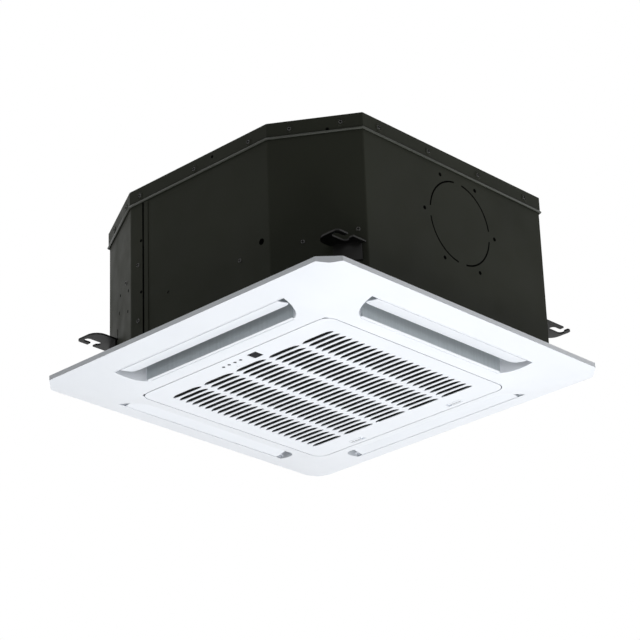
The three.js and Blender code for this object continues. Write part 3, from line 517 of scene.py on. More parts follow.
def round_bar(radius, start, end):
    """A round bar between two points."""
    start, end = Vector(start), Vector(end)
    shape = bmesh.new()
    bmesh.ops.create_cone(
        shape,
        cap_ends=True,
        segments=20,
        radius1=radius,
        radius2=radius,
        depth=(end - start).length,
        matrix=Matrix.Translation((start + end) / 2) @ aimed(end - start),
    )
    return shape


def turned_profile(profile, spot, aim, steps=20):
    """A profile of (radius, height) spun about an axis that starts at spot and points along aim."""
    shape = bmesh.new()
    corners = [shape.verts.new((radius, 0, height)) for radius, height in profile]
    for a, b in zip(corners, corners[1:]):
        shape.edges.new((a, b))
    bmesh.ops.spin(
        shape,
        geom=shape.verts[:] + shape.edges[:],
        axis=(0, 0, 1),
        cent=(0, 0, 0),
        steps=steps,
        angle=2 * math.pi,
        use_merge=True,
    )
    merge_close(shape, 0.001)
    face_out(shape)
    bmesh.ops.transform(shape, matrix=Matrix.Translation(spot) @ aimed(aim), verts=shape.verts)
    return shape


def bevel_edges(shape, edges, width, segments=2):
    bmesh.ops.bevel(
        shape,
        geom=edges,
        offset=width,
        offset_type="OFFSET",
        affect="EDGES",
        segments=segments,
        profile=0.5,
        material=-1,
        clamp_overlap=True,
    )


SHARP = 28  # degrees between two faces, past which the edge between them is eased
LONG_BEND = 60  # millimetres of height, past which an edge is the bend of a sheet


def copy_of(node):
    """A CAD node's mesh in millimetres, its loose triangles joined into flat faces."""
    shape = bmesh.new()
    shape.from_mesh(nodes[node].data)
    bmesh.ops.transform(shape, matrix=Matrix.Scale(1000, 4), verts=shape.verts)
    merge_close(shape, 0.003)
    bmesh.ops.dissolve_limit(
        shape,
        angle_limit=math.radians(0.5),
        use_dissolve_boundaries=False,
        verts=shape.verts,
        edges=shape.edges,
        delimit=set(),
    )
    return shape


def folds(shape, least, most=181, taller_than=-1):
    """Edges whose two faces turn by an angle between these, in degrees, and that are this tall."""
    return [
        e
        for e in shape.edges
        if len(e.link_faces) == 2
        and abs(e.verts[0].co.z - e.verts[1].co.z) > taller_than
        and math.radians(least) < e.calc_face_angle() < math.radians(most)
    ]


def softened(node, width, bend=0.0):
    """Stands for a CAD node with its edges eased, as bending, moulding or casting leaves them.

    bend is the wider rounding of the long upright bends of a folded sheet.
    """
    shape = copy_of(node)
    if bend:
        bevel_edges(shape, folds(shape, 20, 70, LONG_BEND), bend, 3)
    if width:
        bevel_edges(shape, folds(shape, SHARP), width)
    slot = slot_of[node]
    body = nodes[node]["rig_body"]
    place(node + "_eased", shape, FINISH[slot], body, (node,), angle=SHARP)


# ---- Camera, floor and light -------------------------------------------------------------------
CAMERA_SPOT = (-2.63736, -2.45831, -1.52677)
HEADING, RISE, ROLL = math.radians(46.99), math.radians(24.23), math.radians(-2.12)
FOCAL_LENGTH = 136.86
WORLD_LIGHT = 0.16  # how much the white surroundings light the object
FLOOR_DEPTH = 2.4
FLOOR_GLOW = 0.72  # brings the floor's paint up to white where the camera sees it
# Name, place, point aimed at, side in metres, watts. The first lights the panel's face.
LAMPS = (
    ("lamp_below", (-0.05, -0.35, -2.3), (0, 0, 0), 2.8, 92),
    ("lamp_right", (2.6, -2.2, 0.4), (0.1, -0.1, 0.1), 1.6, 15),
    ("lamp_left", (-2.8, 1.6, 0.5), (-0.1, 0.1, 0.1), 1.6, 3),
    ("lamp_top", (0.5, 0.8, 2.6), (0, 0, 0.2), 2.5, 28),
)


def photo_camera():
    """Low and off the near corner, looking up at the panel's face."""
    lens = bpy.data.cameras.new("photo_camera")
    lens.lens = FOCAL_LENGTH
    lens.sensor_width = 36
    camera = bpy.data.objects.new("photo_camera", lens)
    bpy.context.scene.collection.objects.link(camera)
    look = Euler((math.pi / 2 + RISE, 0, -HEADING), "XYZ").to_matrix() @ Matrix.Rotation(ROLL, 3, "Z")
    camera.matrix_world = Matrix.Translation(CAMERA_SPOT) @ look.to_4x4()
    bpy.context.scene.camera = camera


def soft_lamp(name, spot, target, size, watts):
    lamp = bpy.data.lights.new(name, "AREA")
    lamp.shape = "SQUARE"
    lamp.size = size
    lamp.energy = watts
    thing = bpy.data.objects.new(name, lamp)
    bpy.context.scene.collection.objects.link(thing)
    aim = (Vector(target) - Vector(spot)).to_track_quat("-Z", "Y").to_matrix().to_4x4()
    thing.matrix_world = Matrix.Translation(spot) @ aim
    thing.visible_camera = False


def white_backdrop(tree, low, high):
    """`high` where the camera, a mirror or glass looks at the surroundings, `low` as light."""
    ray = add_node(tree, "ShaderNodeLightPath")
    seen = ray.outputs["Is Camera Ray"]
    for way in ("Is Glossy Ray", "Is Transmission Ray"):
        pair = {0: seen, 1: ray.outputs[way]}
        seen = add_node(tree, "ShaderNodeMath", pair, operation="MAXIMUM").outputs[0]
    return spread(tree, seen, low, high, 0.0, 1.0)


def studio():
    """White surroundings, and a lamp below, because the panel's face looks down at the floor."""
    world = bpy.data.worlds.new("pale_studio")
    bpy.context.scene.world = world
    world.use_nodes = True
    tree = world.node_tree
    tree.nodes.clear()
    level = white_backdrop(tree, WORLD_LIGHT, 1.0)
    shine = add_node(tree, "ShaderNodeBackground", {"Color": (1, 1, 1, 1), "Strength": level})
    add_node(tree, "ShaderNodeOutputWorld", {"Surface": shine.outputs[0]})
    for lamp in LAMPS:
        soft_lamp(*lamp)
    bpy.context.scene.view_settings.view_transform = "Standard"

    floor = bmesh.new()
    bmesh.ops.create_grid(floor, x_segments=8, y_segments=8, size=9)
    bmesh.ops.translate(floor, verts=floor.verts, vec=(0, 0, -FLOOR_DEPTH))
    data = bpy.data.meshes.new("studio_floor")
    floor.to_mesh(data)
    floor.free()
    ground = bpy.data.objects.new("studio_floor", data)
    bpy.context.scene.collection.objects.link(ground)
    # Pale paint, which keeps the object's shadow; from underneath the floor isn't there.
    paint, tree = coat("pale_floor_paint", "#E4E4E2", 0.8)
    shader = tree.nodes["Principled BSDF"]
    colour(tree, spread(tree, blots(tree, 600), 0, 1), "#E2E2E0", "#E8E8E6")
    feed(tree, "Emission Strength", white_backdrop(tree, 0.0, FLOOR_GLOW))
    shader.inputs["Emission Color"].default_value = (1, 1, 1, 1)
    side = add_node(tree, "ShaderNodeNewGeometry")
    gone = add_node(tree, "ShaderNodeBsdfTransparent")
    choice = {0: side.outputs["Backfacing"], 1: shader.outputs[0], 2: gone.outputs[0]}
    face = add_node(tree, "ShaderNodeMixShader", choice)
    tree.links.new(face.outputs[0], tree.nodes["Material Output"].inputs["Surface"])
    ground.data.materials.append(paint)


photo_camera()
studio()


# ---- Panel -------------------------------------------------------------------------------------
def face_height(distance):
    """Height of the panel's sloping face at a distance from the centre, square to its side."""
    return -RIM - SLOPE * (PANEL_HALF - distance)


END_STEPS = 14
END_POWER = 1.1  # how square the curve at an outlet's end is
JOG = 0.6  # along the outlet, where its straight inner edge begins
# An outlet's outline: the distance from the centre of its outer edge and of its ends' inner edge,
# how far along it the ends' tip and root lie, and the distance of its straight inner edge.
MOUTH = (281, 232, 188, 161, 230)
THROAT_FOOT = (281.4, 233.4, 188.2, 161.4, 235.4)


def end_curve(outer, inner, tip, root):
    """Points round an outlet's end, from its outer edge to its inner edge: (distance, along)."""
    points = []
    for i in range(END_STEPS + 1):
        turn = i / END_STEPS * math.pi / 2
        distance = outer - (outer - inner) * math.sin(turn) ** END_POWER
        points.append((distance, root + (tip - root) * max(math.cos(turn), 0) ** END_POWER))
    return points


def outlet_ring(outer, inner, tip, root, edge):
    """The whole outline of the outlet at negative x. Its straight inner edge lies at `edge` and
    begins in a small jog, so that the wall above it can end lower than the end walls."""
    half = end_curve(outer, inner, tip, root) + [(edge, root - JOG)]
    return half + [(r, -t) for r, t in reversed(half)]


# Steps of an outlet's lips: distance and lift of the inner edge, how far the ends draw in,
# distance and lift of the outer edge.
OUTLET_LIPS = (
    (230.4, 1.1, 0.2, 281.0, 0.1),
    (232.6, 1.2, 0.5, 281.0, 0.4),
    (234.3, 1.6, 0.8, 281.0, 0.8),
    (235.0, 2.4, 0.9, 282.0, 0.95),
    (235.0, 2.6, 1.0, 281.9, 5.0),
)
# Places along the middle square's edge, from where the well's corner starts to the square's own.
WELL_START = WELL_HALF - WELL_RADIUS
WELL_SEAM = [WELL_START + (FACE_HALF - WELL_START) * k / 5 for k in range(6)]
CORNER_STEPS = 10
PAST_OUTLETS = 305.0  # distance from the centre past which an open edge of the skin is the rim's


def square_seam():
    """The square where the slopes begin, with one point for each point of the well's edge."""
    points = []
    for quarter in range(4):
        turn = Matrix.Rotation(quarter * math.pi / 2, 3, "Z")
        for i in range(CORNER_STEPS + 1):
            spot = (FACE_HALF, WELL_SEAM[i]) if i <= 5 else (WELL_SEAM[CORNER_STEPS - i], FACE_HALF)
            points.append(turn @ Vector((*spot, -FACE_DROP)))
    return points


def well_edge(z):
    """The edge of the hole for the grille, with the points at the hinge's two corners moved out by
    up to a millimetre, where the grille's own corners swing past it."""
    eased = []
    for x, y, height in rounded_square(WELL_HALF, WELL_RADIUS, z, CORNER_STEPS):
        if x < -204 and 196 < abs(y) < 202:
            x = -208.2
            y += math.copysign(0.7, y) if abs(y) > 200 else 0
        elif abs(x + 203) < 0.2:
            x, y = -205.4, math.copysign(203.6, y)
        eased.append((x, y, height))
    return eased


def panel_skin():
    """The panel's outer skin: four sloping faces with outlets, the middle, the rim."""
    shape = bmesh.new()
    corner = PANEL_HALF - PANEL_CHAMFER / 2
    near = PANEL_HALF - PANEL_CHAMFER
    outline = [(FACE_HALF, -FACE_HALF), (corner, -corner), (PANEL_HALF, -near)]
    outline += [(r, -t) for r, t in reversed(outline)]
    outline += [(FACE_HALF, t) for t in reversed(WELL_SEAM[:5])]
    outline += [(FACE_HALF, -t) for t in WELL_SEAM[:5]]
    border = closed_loop(shape, [(-r, t, face_height(r)) for r, t in outline])
    ring = outlet_ring(*MOUTH)
    mouth = closed_loop(shape, [(-r, t, face_height(r)) for r, t in ring])
    edges = ring_edges(shape, border) + ring_edges(shape, mouth)
    bmesh.ops.triangle_fill(shape, use_beauty=True, edges=edges, normal=(0, 0, -1))
    # The inner edge steps up to a narrow lip, then rolls into the throat. The outer edge is a thin
    # lip too, with room over it for the flap's outer edge, which swings outwards as the flap shuts.
    last = mouth
    _, inner, tip, root, _ = MOUTH
    on_inner_edge = [abs(t) < root - 0.5 for _, t in ring]
    for edge, lift, sink, outer, rise in OUTLET_LIPS:
        rolled = outlet_ring(outer, inner + sink, tip - sink, root - 0.5 * sink, edge)
        heights = [
            face_height(r) + (lift if straight else rise)
            for (r, _), straight in zip(ring, on_inner_edge)
        ]
        last = drawn_on(shape, last, [(-r, t, z) for (r, t), z in zip(rolled, heights)])
    tops = [v.co.z + 0.8 if straight else -1.0 for v, straight in zip(last, on_inner_edge)]
    drawn_on(shape, last, [(v.co.x, v.co.y, z) for v, z in zip(last, tops)])
    take_in(shape, shape.copy(), *QUARTERS[1:])
    merge_close(shape, 0.02)
    middle = closed_loop(shape, well_edge(-FACE_DROP))
    drawn_on(shape, middle, square_seam())
    drawn_on(shape, middle, well_edge(-FACE_DROP + 2.2))
    merge_close(shape, 0.02)
    outer = [
        e
        for e in shape.edges
        if e.is_boundary and all(max(abs(v.co.x), abs(v.co.y)) > PAST_OUTLETS for v in e.verts)
    ]
    for part in bmesh.ops.extrude_edge_only(shape, edges=outer)["geom"]:
        if isinstance(part, bmesh.types.BMVert):
            part.co.z = 0
    face_down_axis(shape, min(shape.faces, key=lambda f: f.calc_center_median().z), 2)
    return shape


def rounded_square(half, radius, z, steps):
    """Points round a square with rounded corners, from its side at positive x."""
    points = []
    flat = half - radius
    for quarter, (x, y) in enumerate(((flat, flat), (-flat, flat), (-flat, -flat), (flat, -flat))):
        for i in range(steps + 1):
            turn = (quarter + i / steps) * math.pi / 2
            points.append((x + radius * math.cos(turn), y + radius * math.sin(turn), z))
    return points


def upright_ring(shape, half, radius, thickness, z0, z1):
    """A square ring with rounded corners, standing up behind the panel's or the grille's face."""
    outside = closed_loop(shape, rounded_square(half, radius, z0, 6))
    up = drawn_on(shape, outside, rounded_square(half, radius, z1, 6))
    inward = drawn_on(shape, up, rounded_square(half - thickness, radius - thickness, z1, 6))
    down = drawn_on(shape, inward, rounded_square(half - thickness, radius - thickness, z0, 6))
    bmesh.ops.bridge_loops(shape, edges=ring_edges(shape, outside) + ring_edges(shape, down))


WELL_WALL = (214, 25, 2.5, -29, -3)  # half side, corner radius, thickness, lower and upper edge
BOSS_SPOT = 252.0
RIB_Y = 250.0
LUG_SPREAD = 7.0  # from the middle of a hinge to each of its two lugs


def panel_back():
    """What stands on the back of the panel: well wall, screw bosses, shaft ribs, hinge lugs."""
    shape = bmesh.new()
    upright_ring(shape, *WELL_WALL)
    foot = face_height(BOSS_SPOT) + 1
    boss = [(5.6, foot), (5, foot + 3), (5, -1), (2, -1), (2, -9)]
    for x, y in ((-1, -1), (1, -1), (1, 1), (-1, 1)):
        take_in(shape, turned_profile(boss, (x * BOSS_SPOT, y * BOSS_SPOT, 0), (0, 0, 1)))
    ribs = bmesh.new()
    foot = face_height(FLAP_AXIS_R) + 1
    for y in (RIB_Y, -RIB_Y):
        take_in(ribs, block(-FLAP_AXIS_R - 5, -FLAP_AXIS_R + 5, y - 2, y + 2, foot, -3))
    take_in(shape, ribs, *QUARTERS)
    for y in (HINGE_Y, -HINGE_Y):
        for side in (-1, 1):
            y0, y1 = y + side * LUG_SPREAD - 2, y + side * LUG_SPREAD + 2
            take_in(shape, block(HINGE_X - 1.5, HINGE_X + 1.5, y0, y1, HINGE_Z, -16))
            take_in(shape, block(-212.5, HINGE_X + 1.5, y0, y1, -20, -16))
            take_in(shape, round_bar(1.5, (HINGE_X, y0, HINGE_Z), (HINGE_X, y1, HINGE_Z)))
        pin = [(HINGE_X, y + end, HINGE_Z) for end in (-LUG_SPREAD, LUG_SPREAD)]
        take_in(shape, round_bar(1, *pin))
    face_out(shape)
    return shape


place(
    "panel_skin", panel_skin(), PANEL_ABS, "unit", ("panel_frame",),
    angle=35, wall=2.4, edge=0.5,
)
place("panel_back_walls", panel_back(), PANEL_ABS, "unit")


# ---- Outlets -----------------------------------------------------------------------------------
THROAT_INNER_Z = -24.6  # foot of the throat's inner wall
THROAT_OUTER_Z = -0.8
BLADE_COLUMNS = 10
BLADE_ROWS = 24
BLADE_LIP = (280.1, -14.2)  # the blade's outer edge, turned up


def throat():
    """The grey duct behind an outlet: its inner wall shows between the flap and the rolled edge."""
    low = outlet_ring(*THROAT_FOOT)
    steps = [i / END_STEPS for i in range(END_STEPS + 1)]
    # The port in the drain pan, 276 to 242 mm out, with ends that slant from 138 to 155 mm along.
    port = [(276 - 34 * t, 138 + 17 * t**0.6) for t in steps] + [(242, 154.2)]
    port += [(r, -t) for r, t in reversed(port)]
    shape = bmesh.new()
    foot = [(-r, t, THROAT_INNER_Z if abs(t) < 161.2 else THROAT_OUTER_Z) for r, t in low]
    ring = closed_loop(shape, foot)
    ring = drawn_on(shape, ring, [(-r, t, 1.5) for r, t in low])
    drawn_on(shape, ring, [(-r, t, PORT_Z) for r, t in port])
    face_down_axis(shape, next(f for f in shape.faces if f.calc_center_median().x > -245), 0)
    return shape


def flap_section(u):
    """Lower surface of a flap, from its inner edge at u = 0 to where it turns up at u = 1."""
    return FLAP_INNER + 29.6 * u, -11.0 - 7.7 * u + 1.9 * u * u


def flap_blade():
    """A flap's blade at side 1: curved across, with rounded inner corners and a turned-up edge."""

    def corner(column, row):
        v = row / BLADE_ROWS * 2 - 1
        r, z = flap_section(column / BLADE_COLUMNS) if column <= BLADE_COLUMNS else BLADE_LIP
        tuck = max(0.0, FLAP_INNER + FLAP_CORNER - r)
        half = FLAP_HALF - (FLAP_CORNER - math.sqrt(max(0.0, FLAP_CORNER**2 - tuck * tuck)))
        along = math.copysign(1 - (1 - abs(v)) ** 1.4, v)
        return (-r, along * half, z)

    shape = sheet_of(BLADE_COLUMNS + 1, BLADE_ROWS, corner)
    shape.faces.ensure_lookup_table()
    face_down_axis(shape, shape.faces[0], 2)
    return shape


def flap_arms(start_end, end_end):
    """End arms, hubs and the thin shafts that the flap tilts on."""
    shape = bmesh.new()
    for side, end in ((-1, -end_end), (1, start_end)):
        y0, y1 = side * ARM_Y - 1.2, side * ARM_Y + 1.2
        arm = bmesh.new()
        ring = closed_loop(arm, [(x, y0, z) for x, z in ARM])
        arm.faces.new(ring)
        arm.faces.new(drawn_on(arm, ring, [(x, y1, z) for x, z in ARM]))
        face_out(arm)
        take_in(shape, arm)
        for radius, start, stop in ((3.2, y0, y1), (1.1, side * (ARM_Y - 1), end)):
            ends = [(-FLAP_AXIS_R, y, FLAP_AXIS_Z) for y in (start, stop)]
            take_in(shape, round_bar(radius, *ends))
    return shape


ARM = [(-277.5, -15.8), (-262, -13), (-270, -9.4), (-274.8, -7.8), (-278.8, -7.8)]  # x and z
GEARED = FLAP_AXIS_R - 1.4  # where a shaft ends in its mitre gear
SHAFTS = ((211, GEARED), (GEARED, GEARED), (GEARED, GEARED), (GEARED, 255))
for side in range(4):
    number = str(side + 1)
    duct, flap = "air_duct_" + number, "flap_" + number
    throat_wall, blade, arms = (
        at_side(shape, side) for shape in (throat(), flap_blade(), flap_arms(*SHAFTS[side]))
    )
    place("outlet_throat_" + number, throat_wall, DUCT_ABS, "unit", (duct,), wall=1.6)
    place(
        "flap_blade_" + number, blade, PANEL_ABS, flap, (flap,),
        angle=60, wall=1.7, edge=0.4,
    )
    place("flap_arms_" + number, arms, PANEL_ABS, flap)


# ---- Grille ------------------------------------------------------------------------------------
VANE = ((0.0, 0.0), (-0.55, 0.15), (-0.95, 0.55), (-1.1, 1.1), (1.4, 2.5))  # lean and depth
CELL_ROWS = 14
SLOT_TIPS = 1.8  # where a slot's pointed ends lie across its cell
SHARP_SWING = 6.3  # how far its sharp side swings from there towards the hinge
VANE_SWING = 4.5  # and its vane the other way
BACK_DROP = 1.7  # how far the back of the border is let down at the hinge


def slot_row(row):
    """Place along a slot's cell, with one row of faces past each of its pointed ends."""
    if row == 0:
        return -COLUMN_PITCH / 2
    if row == CELL_ROWS:
        return COLUMN_PITCH / 2
    return SLOT_HALF * math.sin(((row - 1) / (CELL_ROWS - 2) - 0.5) * math.pi)


def slot_cell():
    """The skin round one slot: a sharp arched edge towards the hinge, a curled vane beyond it."""

    def sharp_side(column, row):
        y = slot_row(row)
        open_part = max(0.0, 1 - (y / SLOT_HALF) ** 6)
        if column in (0, 6):
            return (-SLOT_PITCH / 2, y, SKIN_BACK if column == 0 else -FACE_DROP)
        return (SLOT_TIPS - SHARP_SWING * open_part, y, -FACE_DROP + VANE[5 - column][1])

    def vane_side(column, row):
        y = slot_row(row)
        open_part = max(0.0, 1 - (y / SLOT_HALF) ** 8)
        if column in (0, 6):
            return (SLOT_PITCH / 2, y, SKIN_BACK if column == 6 else -FACE_DROP)
        lean, depth = VANE[column - 1]
        return (SLOT_TIPS + (VANE_SWING + lean) * open_part, y, -FACE_DROP + depth)

    cell = sheet_of(6, CELL_ROWS, sharp_side)
    take_in(cell, sheet_of(6, CELL_ROWS, vane_side))
    past = [
        face
        for face in cell.faces
        if abs(face.calc_center_median().y) > SLOT_HALF
        and all(abs(v.co.x - SLOT_TIPS) < 0.01 for v in face.verts)
    ]
    bmesh.ops.delete(cell, geom=past, context="FACES")
    merge_close(cell, 0.001)
    return cell


def grille_face():
    """120 slots in one skin, joined to the plain border that carries the lights and latches."""
    shape = bmesh.new()
    across = [SLOT_FIRST + row * SLOT_PITCH for row in range(SLOT_ROWS)]
    along = [
        COLUMN_MIDDLE + (column - (SLOT_COLUMNS - 1) / 2) * COLUMN_PITCH
        for column in range(SLOT_COLUMNS)
    ]
    take_in(shape, slot_cell(), *[Matrix.Translation((x, y, 0)) for x in across for y in along])
    merge_close(shape, 0.02)
    field = SLOT_ROWS * SLOT_PITCH / 2
    middle = SLOT_FIRST + field - SLOT_PITCH / 2
    for z, outward in ((-FACE_DROP, -1), (SKIN_BACK, 1)):
        inner = [
            e
            for e in shape.edges
            if e.is_boundary
            and all(abs(v.co.z - z) < 0.001 for v in e.verts)
            and all(
                abs(abs(v.co.x - middle) - field) < 0.05
                or abs(abs(v.co.y - COLUMN_MIDDLE) - COLUMN_PITCH * SLOT_COLUMNS / 2) < 0.05
                for v in e.verts
            )
        ]
        rim = rounded_square(GRILLE_HALF, GRILLE_RADIUS, z, CORNER_STEPS)
        if outward > 0:
            # The back is let down along the hinge, to clear the lugs that the grille turns on.
            rim = [(x, y, z - BACK_DROP * min(1, max(0, (-190 - x) / 15))) for x, y, _ in rim]
        loops = [rim] + border_holes(z)
        rings = [closed_loop(shape, points) for points in loops]
        fill = inner + [e for ring in rings for e in ring_edges(shape, ring)]
        bmesh.ops.triangle_fill(shape, use_beauty=True, edges=fill, normal=(0, 0, outward))
        if outward < 0:
            front = rings
        else:
            for low, high in zip(front, rings):
                bmesh.ops.bridge_loops(shape, edges=ring_edges(shape, low) + ring_edges(shape, high))
    face_out(shape)
    return shape


def circle_points(x, y, radius, z):
    """Twenty corners round a circle."""
    turns = [i * math.pi / 10 for i in range(20)]
    return [(x + radius * math.cos(turn), y + radius * math.sin(turn), z) for turn in turns]


def box_points(x, y, half_x, half_y, z):
    x0, x1, y0, y1 = x - half_x, x + half_x, y - half_y, y + half_y
    return [(x0, y0, z), (x1, y0, z), (x1, y1, z), (x0, y1, z)]


def border_holes(z):
    """Openings in the grille's border: four lights, button, receiver window, two latches."""
    holes = [circle_points(LIGHT_X, y, 2.9, z) for y in LIGHTS]
    x, y, radius = BUTTON
    holes.append(circle_points(x, y, radius + 0.25, z))
    x, y, half = WINDOW
    holes.append(box_points(x, y, half + 0.2, half + 0.2, z))
    for side in (-1, 1):
        holes.append(box_points(LATCH_X, side * LATCH_Y, 5.2, 15, z))
    return holes


def grille_back():
    """Skirt and hinge hooks on the back of the grille."""
    shape = bmesh.new()
    upright_ring(shape, 203.2, 15, 1.6, -28.6, -20)
    hook = [(1.35, -4.2), (1.9, -4.2), (1.9, 4.2), (1.35, 4.2), (1.35, -4.2)]
    for y in (-HINGE_Y, HINGE_Y):
        take_in(shape, turned_profile(hook, (HINGE_X, y, HINGE_Z), (0, 1, 0), 16))
    face_out(shape)
    return shape


place("grille_face", grille_face(), PANEL_ABS, "grille", ("grille",), angle=40)
place("grille_back", grille_back(), PANEL_ABS, "grille")


def light_lenses():
    """The ends of the light guide, four low domes in the grille's border."""
    shape = bmesh.new()
    dome = [(0, 0.1), (1.6, 0.0), (2.7, -0.3), (2.7, -2.2), (0, -2.2)]
    for y in LIGHTS:
        take_in(shape, turned_profile(dome, (LIGHT_X, y, 0.3 - FACE_DROP), (0, 0, -1), 16))
    return shape


place("light_lenses", light_lenses(), LENS, "grille")
# The groove for a fingernail along each latch, as a dark strip of painted shade.
for number, side in (("1", 1), ("2", -1)):
    low, high = sorted((side * (LATCH_Y - 7.2), side * (LATCH_Y + 14.1)))
    groove = block(LATCH_X + 0.1, LATCH_X + 1.3, low, high, -FACE_DROP - 0.02, -FACE_DROP + 0.5)
    place("latch_groove_shade_" + number, groove, CAVITY_SHADE, "latch_" + number)


# ---- Casing ------------------------------------------------------------------------------------
for wall in ("near_side", "left_corner", "far_side", "right_corner"):
    softened(wall + "_sheet", 0.25, bend=2.2)
softened("top_cover", 0.4, bend=2.4)
for number in "1234":
    softened("hanger_bracket_" + number, 0.5)


def casing_ring(out, z):
    """The casing's outline moved outwards by a distance, its corners mitred."""
    points = []
    for i, here in enumerate(CASING):
        before, after = Vector(CASING[i - 1]), Vector(CASING[(i + 1) % len(CASING)])
        here = Vector(here)
        a, b = (here - before).normalized(), (after - here).normalized()
        way = Vector((a.y + b.y, -a.x - b.x)).normalized()
        spot = here + way * (out / way.dot(Vector((a.y, -a.x))))
        points.append((spot.x, spot.y, z))
    return points


def tube_round_casing(profile):
    """A closed strip round the casing, from points of (distance out, height)."""
    shape = bmesh.new()
    first = last = closed_loop(shape, casing_ring(*profile[0]))
    for out, z in profile[1:]:
        last = drawn_on(shape, last, casing_ring(out, z))
    bmesh.ops.bridge_loops(shape, edges=ring_edges(shape, first) + ring_edges(shape, last))
    face_out(shape)
    return shape


# The lip's lower edge is folded back on itself, which leaves a round bead that catches light; its enamel
# is painted lighter as a highlight.
HEM = [(1.9, 260.6), (2.9, 260.1), (3.6, 258.9), (3.5, 257.5), (2.7, 256.6), (1.6, 256.5), (1.0, 258.0)]
place("cover_hem", tube_round_casing(HEM), HEM_HIGHLIGHT_ENAMEL, "unit", angle=50)
# A black sheet just inside the walls, which the holes in the walls show: painted shade of the casing's
# unlit inside.
INNER_SHADE_SHEET = [(-1.58, 64), (-1.58, 256), (-1.74, 256), (-1.74, 64)]
place("lining_shade_sheet", tube_round_casing(INNER_SHADE_SHEET), RUBBER, "unit")


def on_wall(side, along, z, out):
    """A spot on a wall, counted from its middle in the outline's order, and the way out of it."""
    a, b = Vector(CASING[side]), Vector(CASING[(side + 1) % len(CASING)])
    way = (b - a).normalized()
    middle = (a + b) / 2 + way * along
    aim = Vector((way.y, -way.x, 0))
    return Vector((middle.x, middle.y, z)) + aim * out, aim


def spots_on(places, out=0.0):
    """Spots from a table that gives for each wall the places along and up it."""
    return [on_wall(side, along, z, out) for side, row in places.items() for along, z in row]


# Walls in the outline's order.
NEAR_CORNER, NEAR_RIGHT, RIGHT_CORNER, FAR_RIGHT, FAR_CORNER, FAR_LEFT, LEFT_CORNER, NEAR_LEFT = range(8)
LIP_SCREWS = spots_on({
    NEAR_LEFT: ((-131, 270), (-5, 269), (117, 269)),
    NEAR_CORNER: ((-39, 271), (41, 272)),
    NEAR_RIGHT: ((-178, 271), (-63, 271), (56, 271), (172, 271)),
    LEFT_CORNER: ((55, 268), (-30, 270)),
    RIGHT_CORNER: ((-45, 270), (45, 270)),
    FAR_CORNER: ((-40, 270), (40, 270)),
    FAR_RIGHT: ((-115, 270), (0, 270), (115, 270)),
    FAR_LEFT: ((-170, 270), (-60, 270), (60, 270), (170, 270)),
}, COVER_PROUD)
SCREWS = LIP_SCREWS + spots_on({
    NEAR_LEFT: ((91, 75.4), (-138, 149), (-138, 52)),
    NEAR_CORNER: ((-24, 77.5), (61, 88)),
    LEFT_CORNER: ((46, 138),),
    FAR_LEFT: ((150, 80),),
    FAR_RIGHT: ((0, 80), (120, 150)),
})
WALL_HOLES = spots_on({
    LEFT_CORNER: ((60, 118), (56, 83.6), (4, 134.7)),
    NEAR_LEFT: ((-131, 190), (-131, 100)),
}) + spots_on({NEAR_LEFT: ((36.5, 275),), NEAR_CORNER: ((20, 263),)}, COVER_PROUD)
WIDE_HOLE = spots_on({NEAR_LEFT: ((138, 90.4),)})

PAN_HEAD = [(0, 1.7), (1.5, 1.62), (2.8, 1.25), (3.5, 0.6), (3.6, -0.6), (0, -0.6)]
RAISED_RING = [(3.9, -0.3), (3.9, 0.25), (4.6, 0.9), (5.6, 0.95), (6.6, 0.3), (6.9, -0.3), (3.9, -0.3)]


def fixed_on(spots, profile, steps=14):
    """A turned shape at each spot, its axis square to the wall."""
    shape = bmesh.new()
    for spot, aim in spots:
        take_in(shape, turned_profile(profile, spot, aim, steps))
    return shape


def hole_shade_discs(spots, radius, steps, proud=0.12):
    """Dark discs, a hair proud of the wall: painted shade that reads as holes through it."""
    return fixed_on(spots, [(0, proud), (radius, proud), (radius, -0.4), (0, -0.4)], steps)


def cross_slots(spots):
    """The cross recess of each screw, as two dark bars let into its head: painted shade of the recess.
    """
    shape = bmesh.new()
    for spot, aim in spots:
        for half_x, half_y in ((2.2, 0.6), (0.6, 2.2)):
            bar = block(-half_x, half_x, -half_y, half_y, 1.2, 1.72)
            take_in(shape, bar, Matrix.Translation(spot) @ aimed(aim))
    return shape


def knockout_slot_shades():
    """The four narrow slots round the fresh-air knockout, each a dark strip bent to a quarter, as
    painted shade of the slot.
    """
    shape = bmesh.new()
    x, z, radius = KNOCKOUT
    wall = CASING[1][1]
    section = [(radius - 2.1, 0.3), (radius + 0.5, 0.3), (radius + 0.5, -0.1), (radius - 2.1, -0.1)]
    for quarter in range(4):
        start = quarter * math.pi / 2 + HALF_BRIDGE
        turn = Matrix.Translation((x, wall, z)) @ Matrix.Rotation(-start, 4, "Y")
        strip = bmesh.new()
        first = closed_loop(strip, [turn @ Vector((r, y, 0)) for r, y in section])
        bmesh.ops.spin(
            strip, geom=first + ring_edges(strip, first), cent=(x, wall, z), axis=(0, -1, 0),
            dvec=(0, 0, 0), angle=math.pi / 2 - 2 * HALF_BRIDGE, steps=12, use_duplicate=False,
        )
        bmesh.ops.holes_fill(strip, edges=[e for e in strip.edges if e.is_boundary], sides=4)
        face_out(strip)
        take_in(shape, strip)
    return shape


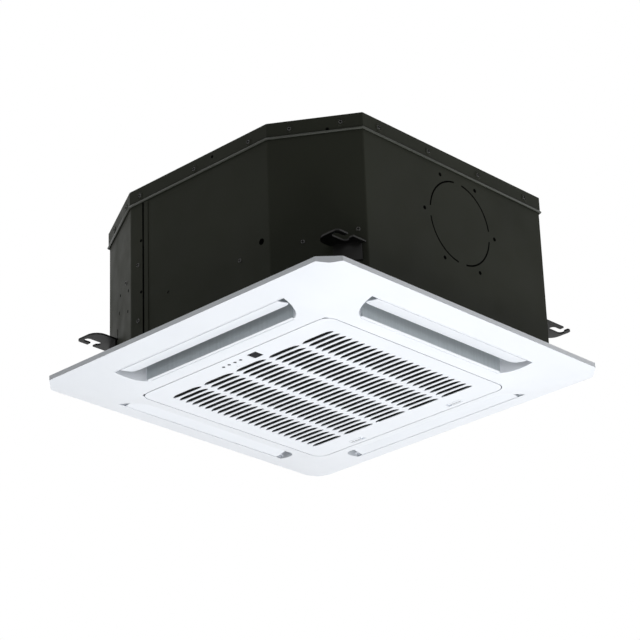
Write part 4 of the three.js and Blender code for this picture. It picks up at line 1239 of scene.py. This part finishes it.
def collar_spots():
    """Spots of the six screw holes round the knockout, for the collar of a duct."""
    x, z, radius = KNOCKOUT
    middle = (CASING[1][0] + CASING[2][0]) / 2
    reach = radius + 12.5
    turns = [i * math.pi / 3 for i in range(6)]
    return spots_on({
        NEAR_RIGHT: [(x - middle + reach * math.cos(a), z + reach * math.sin(a)) for a in turns]
    })


HALF_BRIDGE = 0.13  # half the turn, in radians, that is left between two slots of the knockout
place("lip_rings", fixed_on(LIP_SCREWS, RAISED_RING), CASE_ENAMEL, "unit", angle=50)
place("casing_screws", fixed_on(SCREWS, PAN_HEAD), SCREW_BLACK, "unit", angle=50)
for name, shape in (
    ("screw_recess_shades", cross_slots(SCREWS)),
    ("wall_hole_shades", hole_shade_discs(WALL_HOLES, 2.6, 12)),
    ("wide_hole_shade", hole_shade_discs(WIDE_HOLE, 5.2, 18)),
    ("knockout_slot_shades", knockout_slot_shades()),
    ("collar_hole_shades", hole_shade_discs(collar_spots(), 3.3, 14, 0.1)),
    # The open side of the side sheet's lap: a dark strip of painted shade in the gap.
    ("side_sheet_gap_shade", block(-283.3, -283.02, 113.6, 118, UNIT_BOTTOM + 2, LIP_BOTTOM - 1)),
):
    place(name, shape, CAVITY_SHADE, "unit")
# The folded edge of the near side sheet, which laps over the left corner sheet.
lap = block(-284.1, -283.05, 104, 113.6, UNIT_BOTTOM + 2, LIP_BOTTOM - 1)
bevel_edges(lap, lap.edges[:], 0.35)
place("side_sheet_lap", lap, CASE_ENAMEL, "unit")

# ---- Inside, and the small parts of panel and grille -------------------------------------------
EASED = {
    0.0: "mitre_gear_1_end mitre_gear_2_start mitre_gear_2_end mitre_gear_3_start mitre_gear_3_end"
    " mitre_gear_4_start",
    0.2: "control_board light_guide",
    0.3: "coil_end_plate_1 coil_end_plate_2 gas_pipe liquid_pipe impeller air_filter"
    " receiver_window push_button latch_1 latch_2",
    0.4: "bell_mouth motor_shaft motor_bracket control_box control_box_cover swing_motor",
    0.5: "heat_exchanger liquid_flare_nut drain_socket float_switch fan_lock_nut terminal_block"
    " cable_grommet",
    0.6: "gas_flare_nut float_ring",
    0.8: "drain_pump display_housing",
    1.0: "foam_liner",
    1.5: "drain_pan fan_motor",
}
for width, names in EASED.items():
    for node in names.split():
        softened(node, width)
# A net behind the grille's slots: partly the filter's own net, partly painted shade of the unit's
# inside, which it hides.
net = block(-167.6, 165.6, -181.6, 183.6, SKIN_BACK + 0.12, SKIN_BACK + 0.32)
place("filter_net", net, NET_AND_INNER_SHADE, "air_filter")
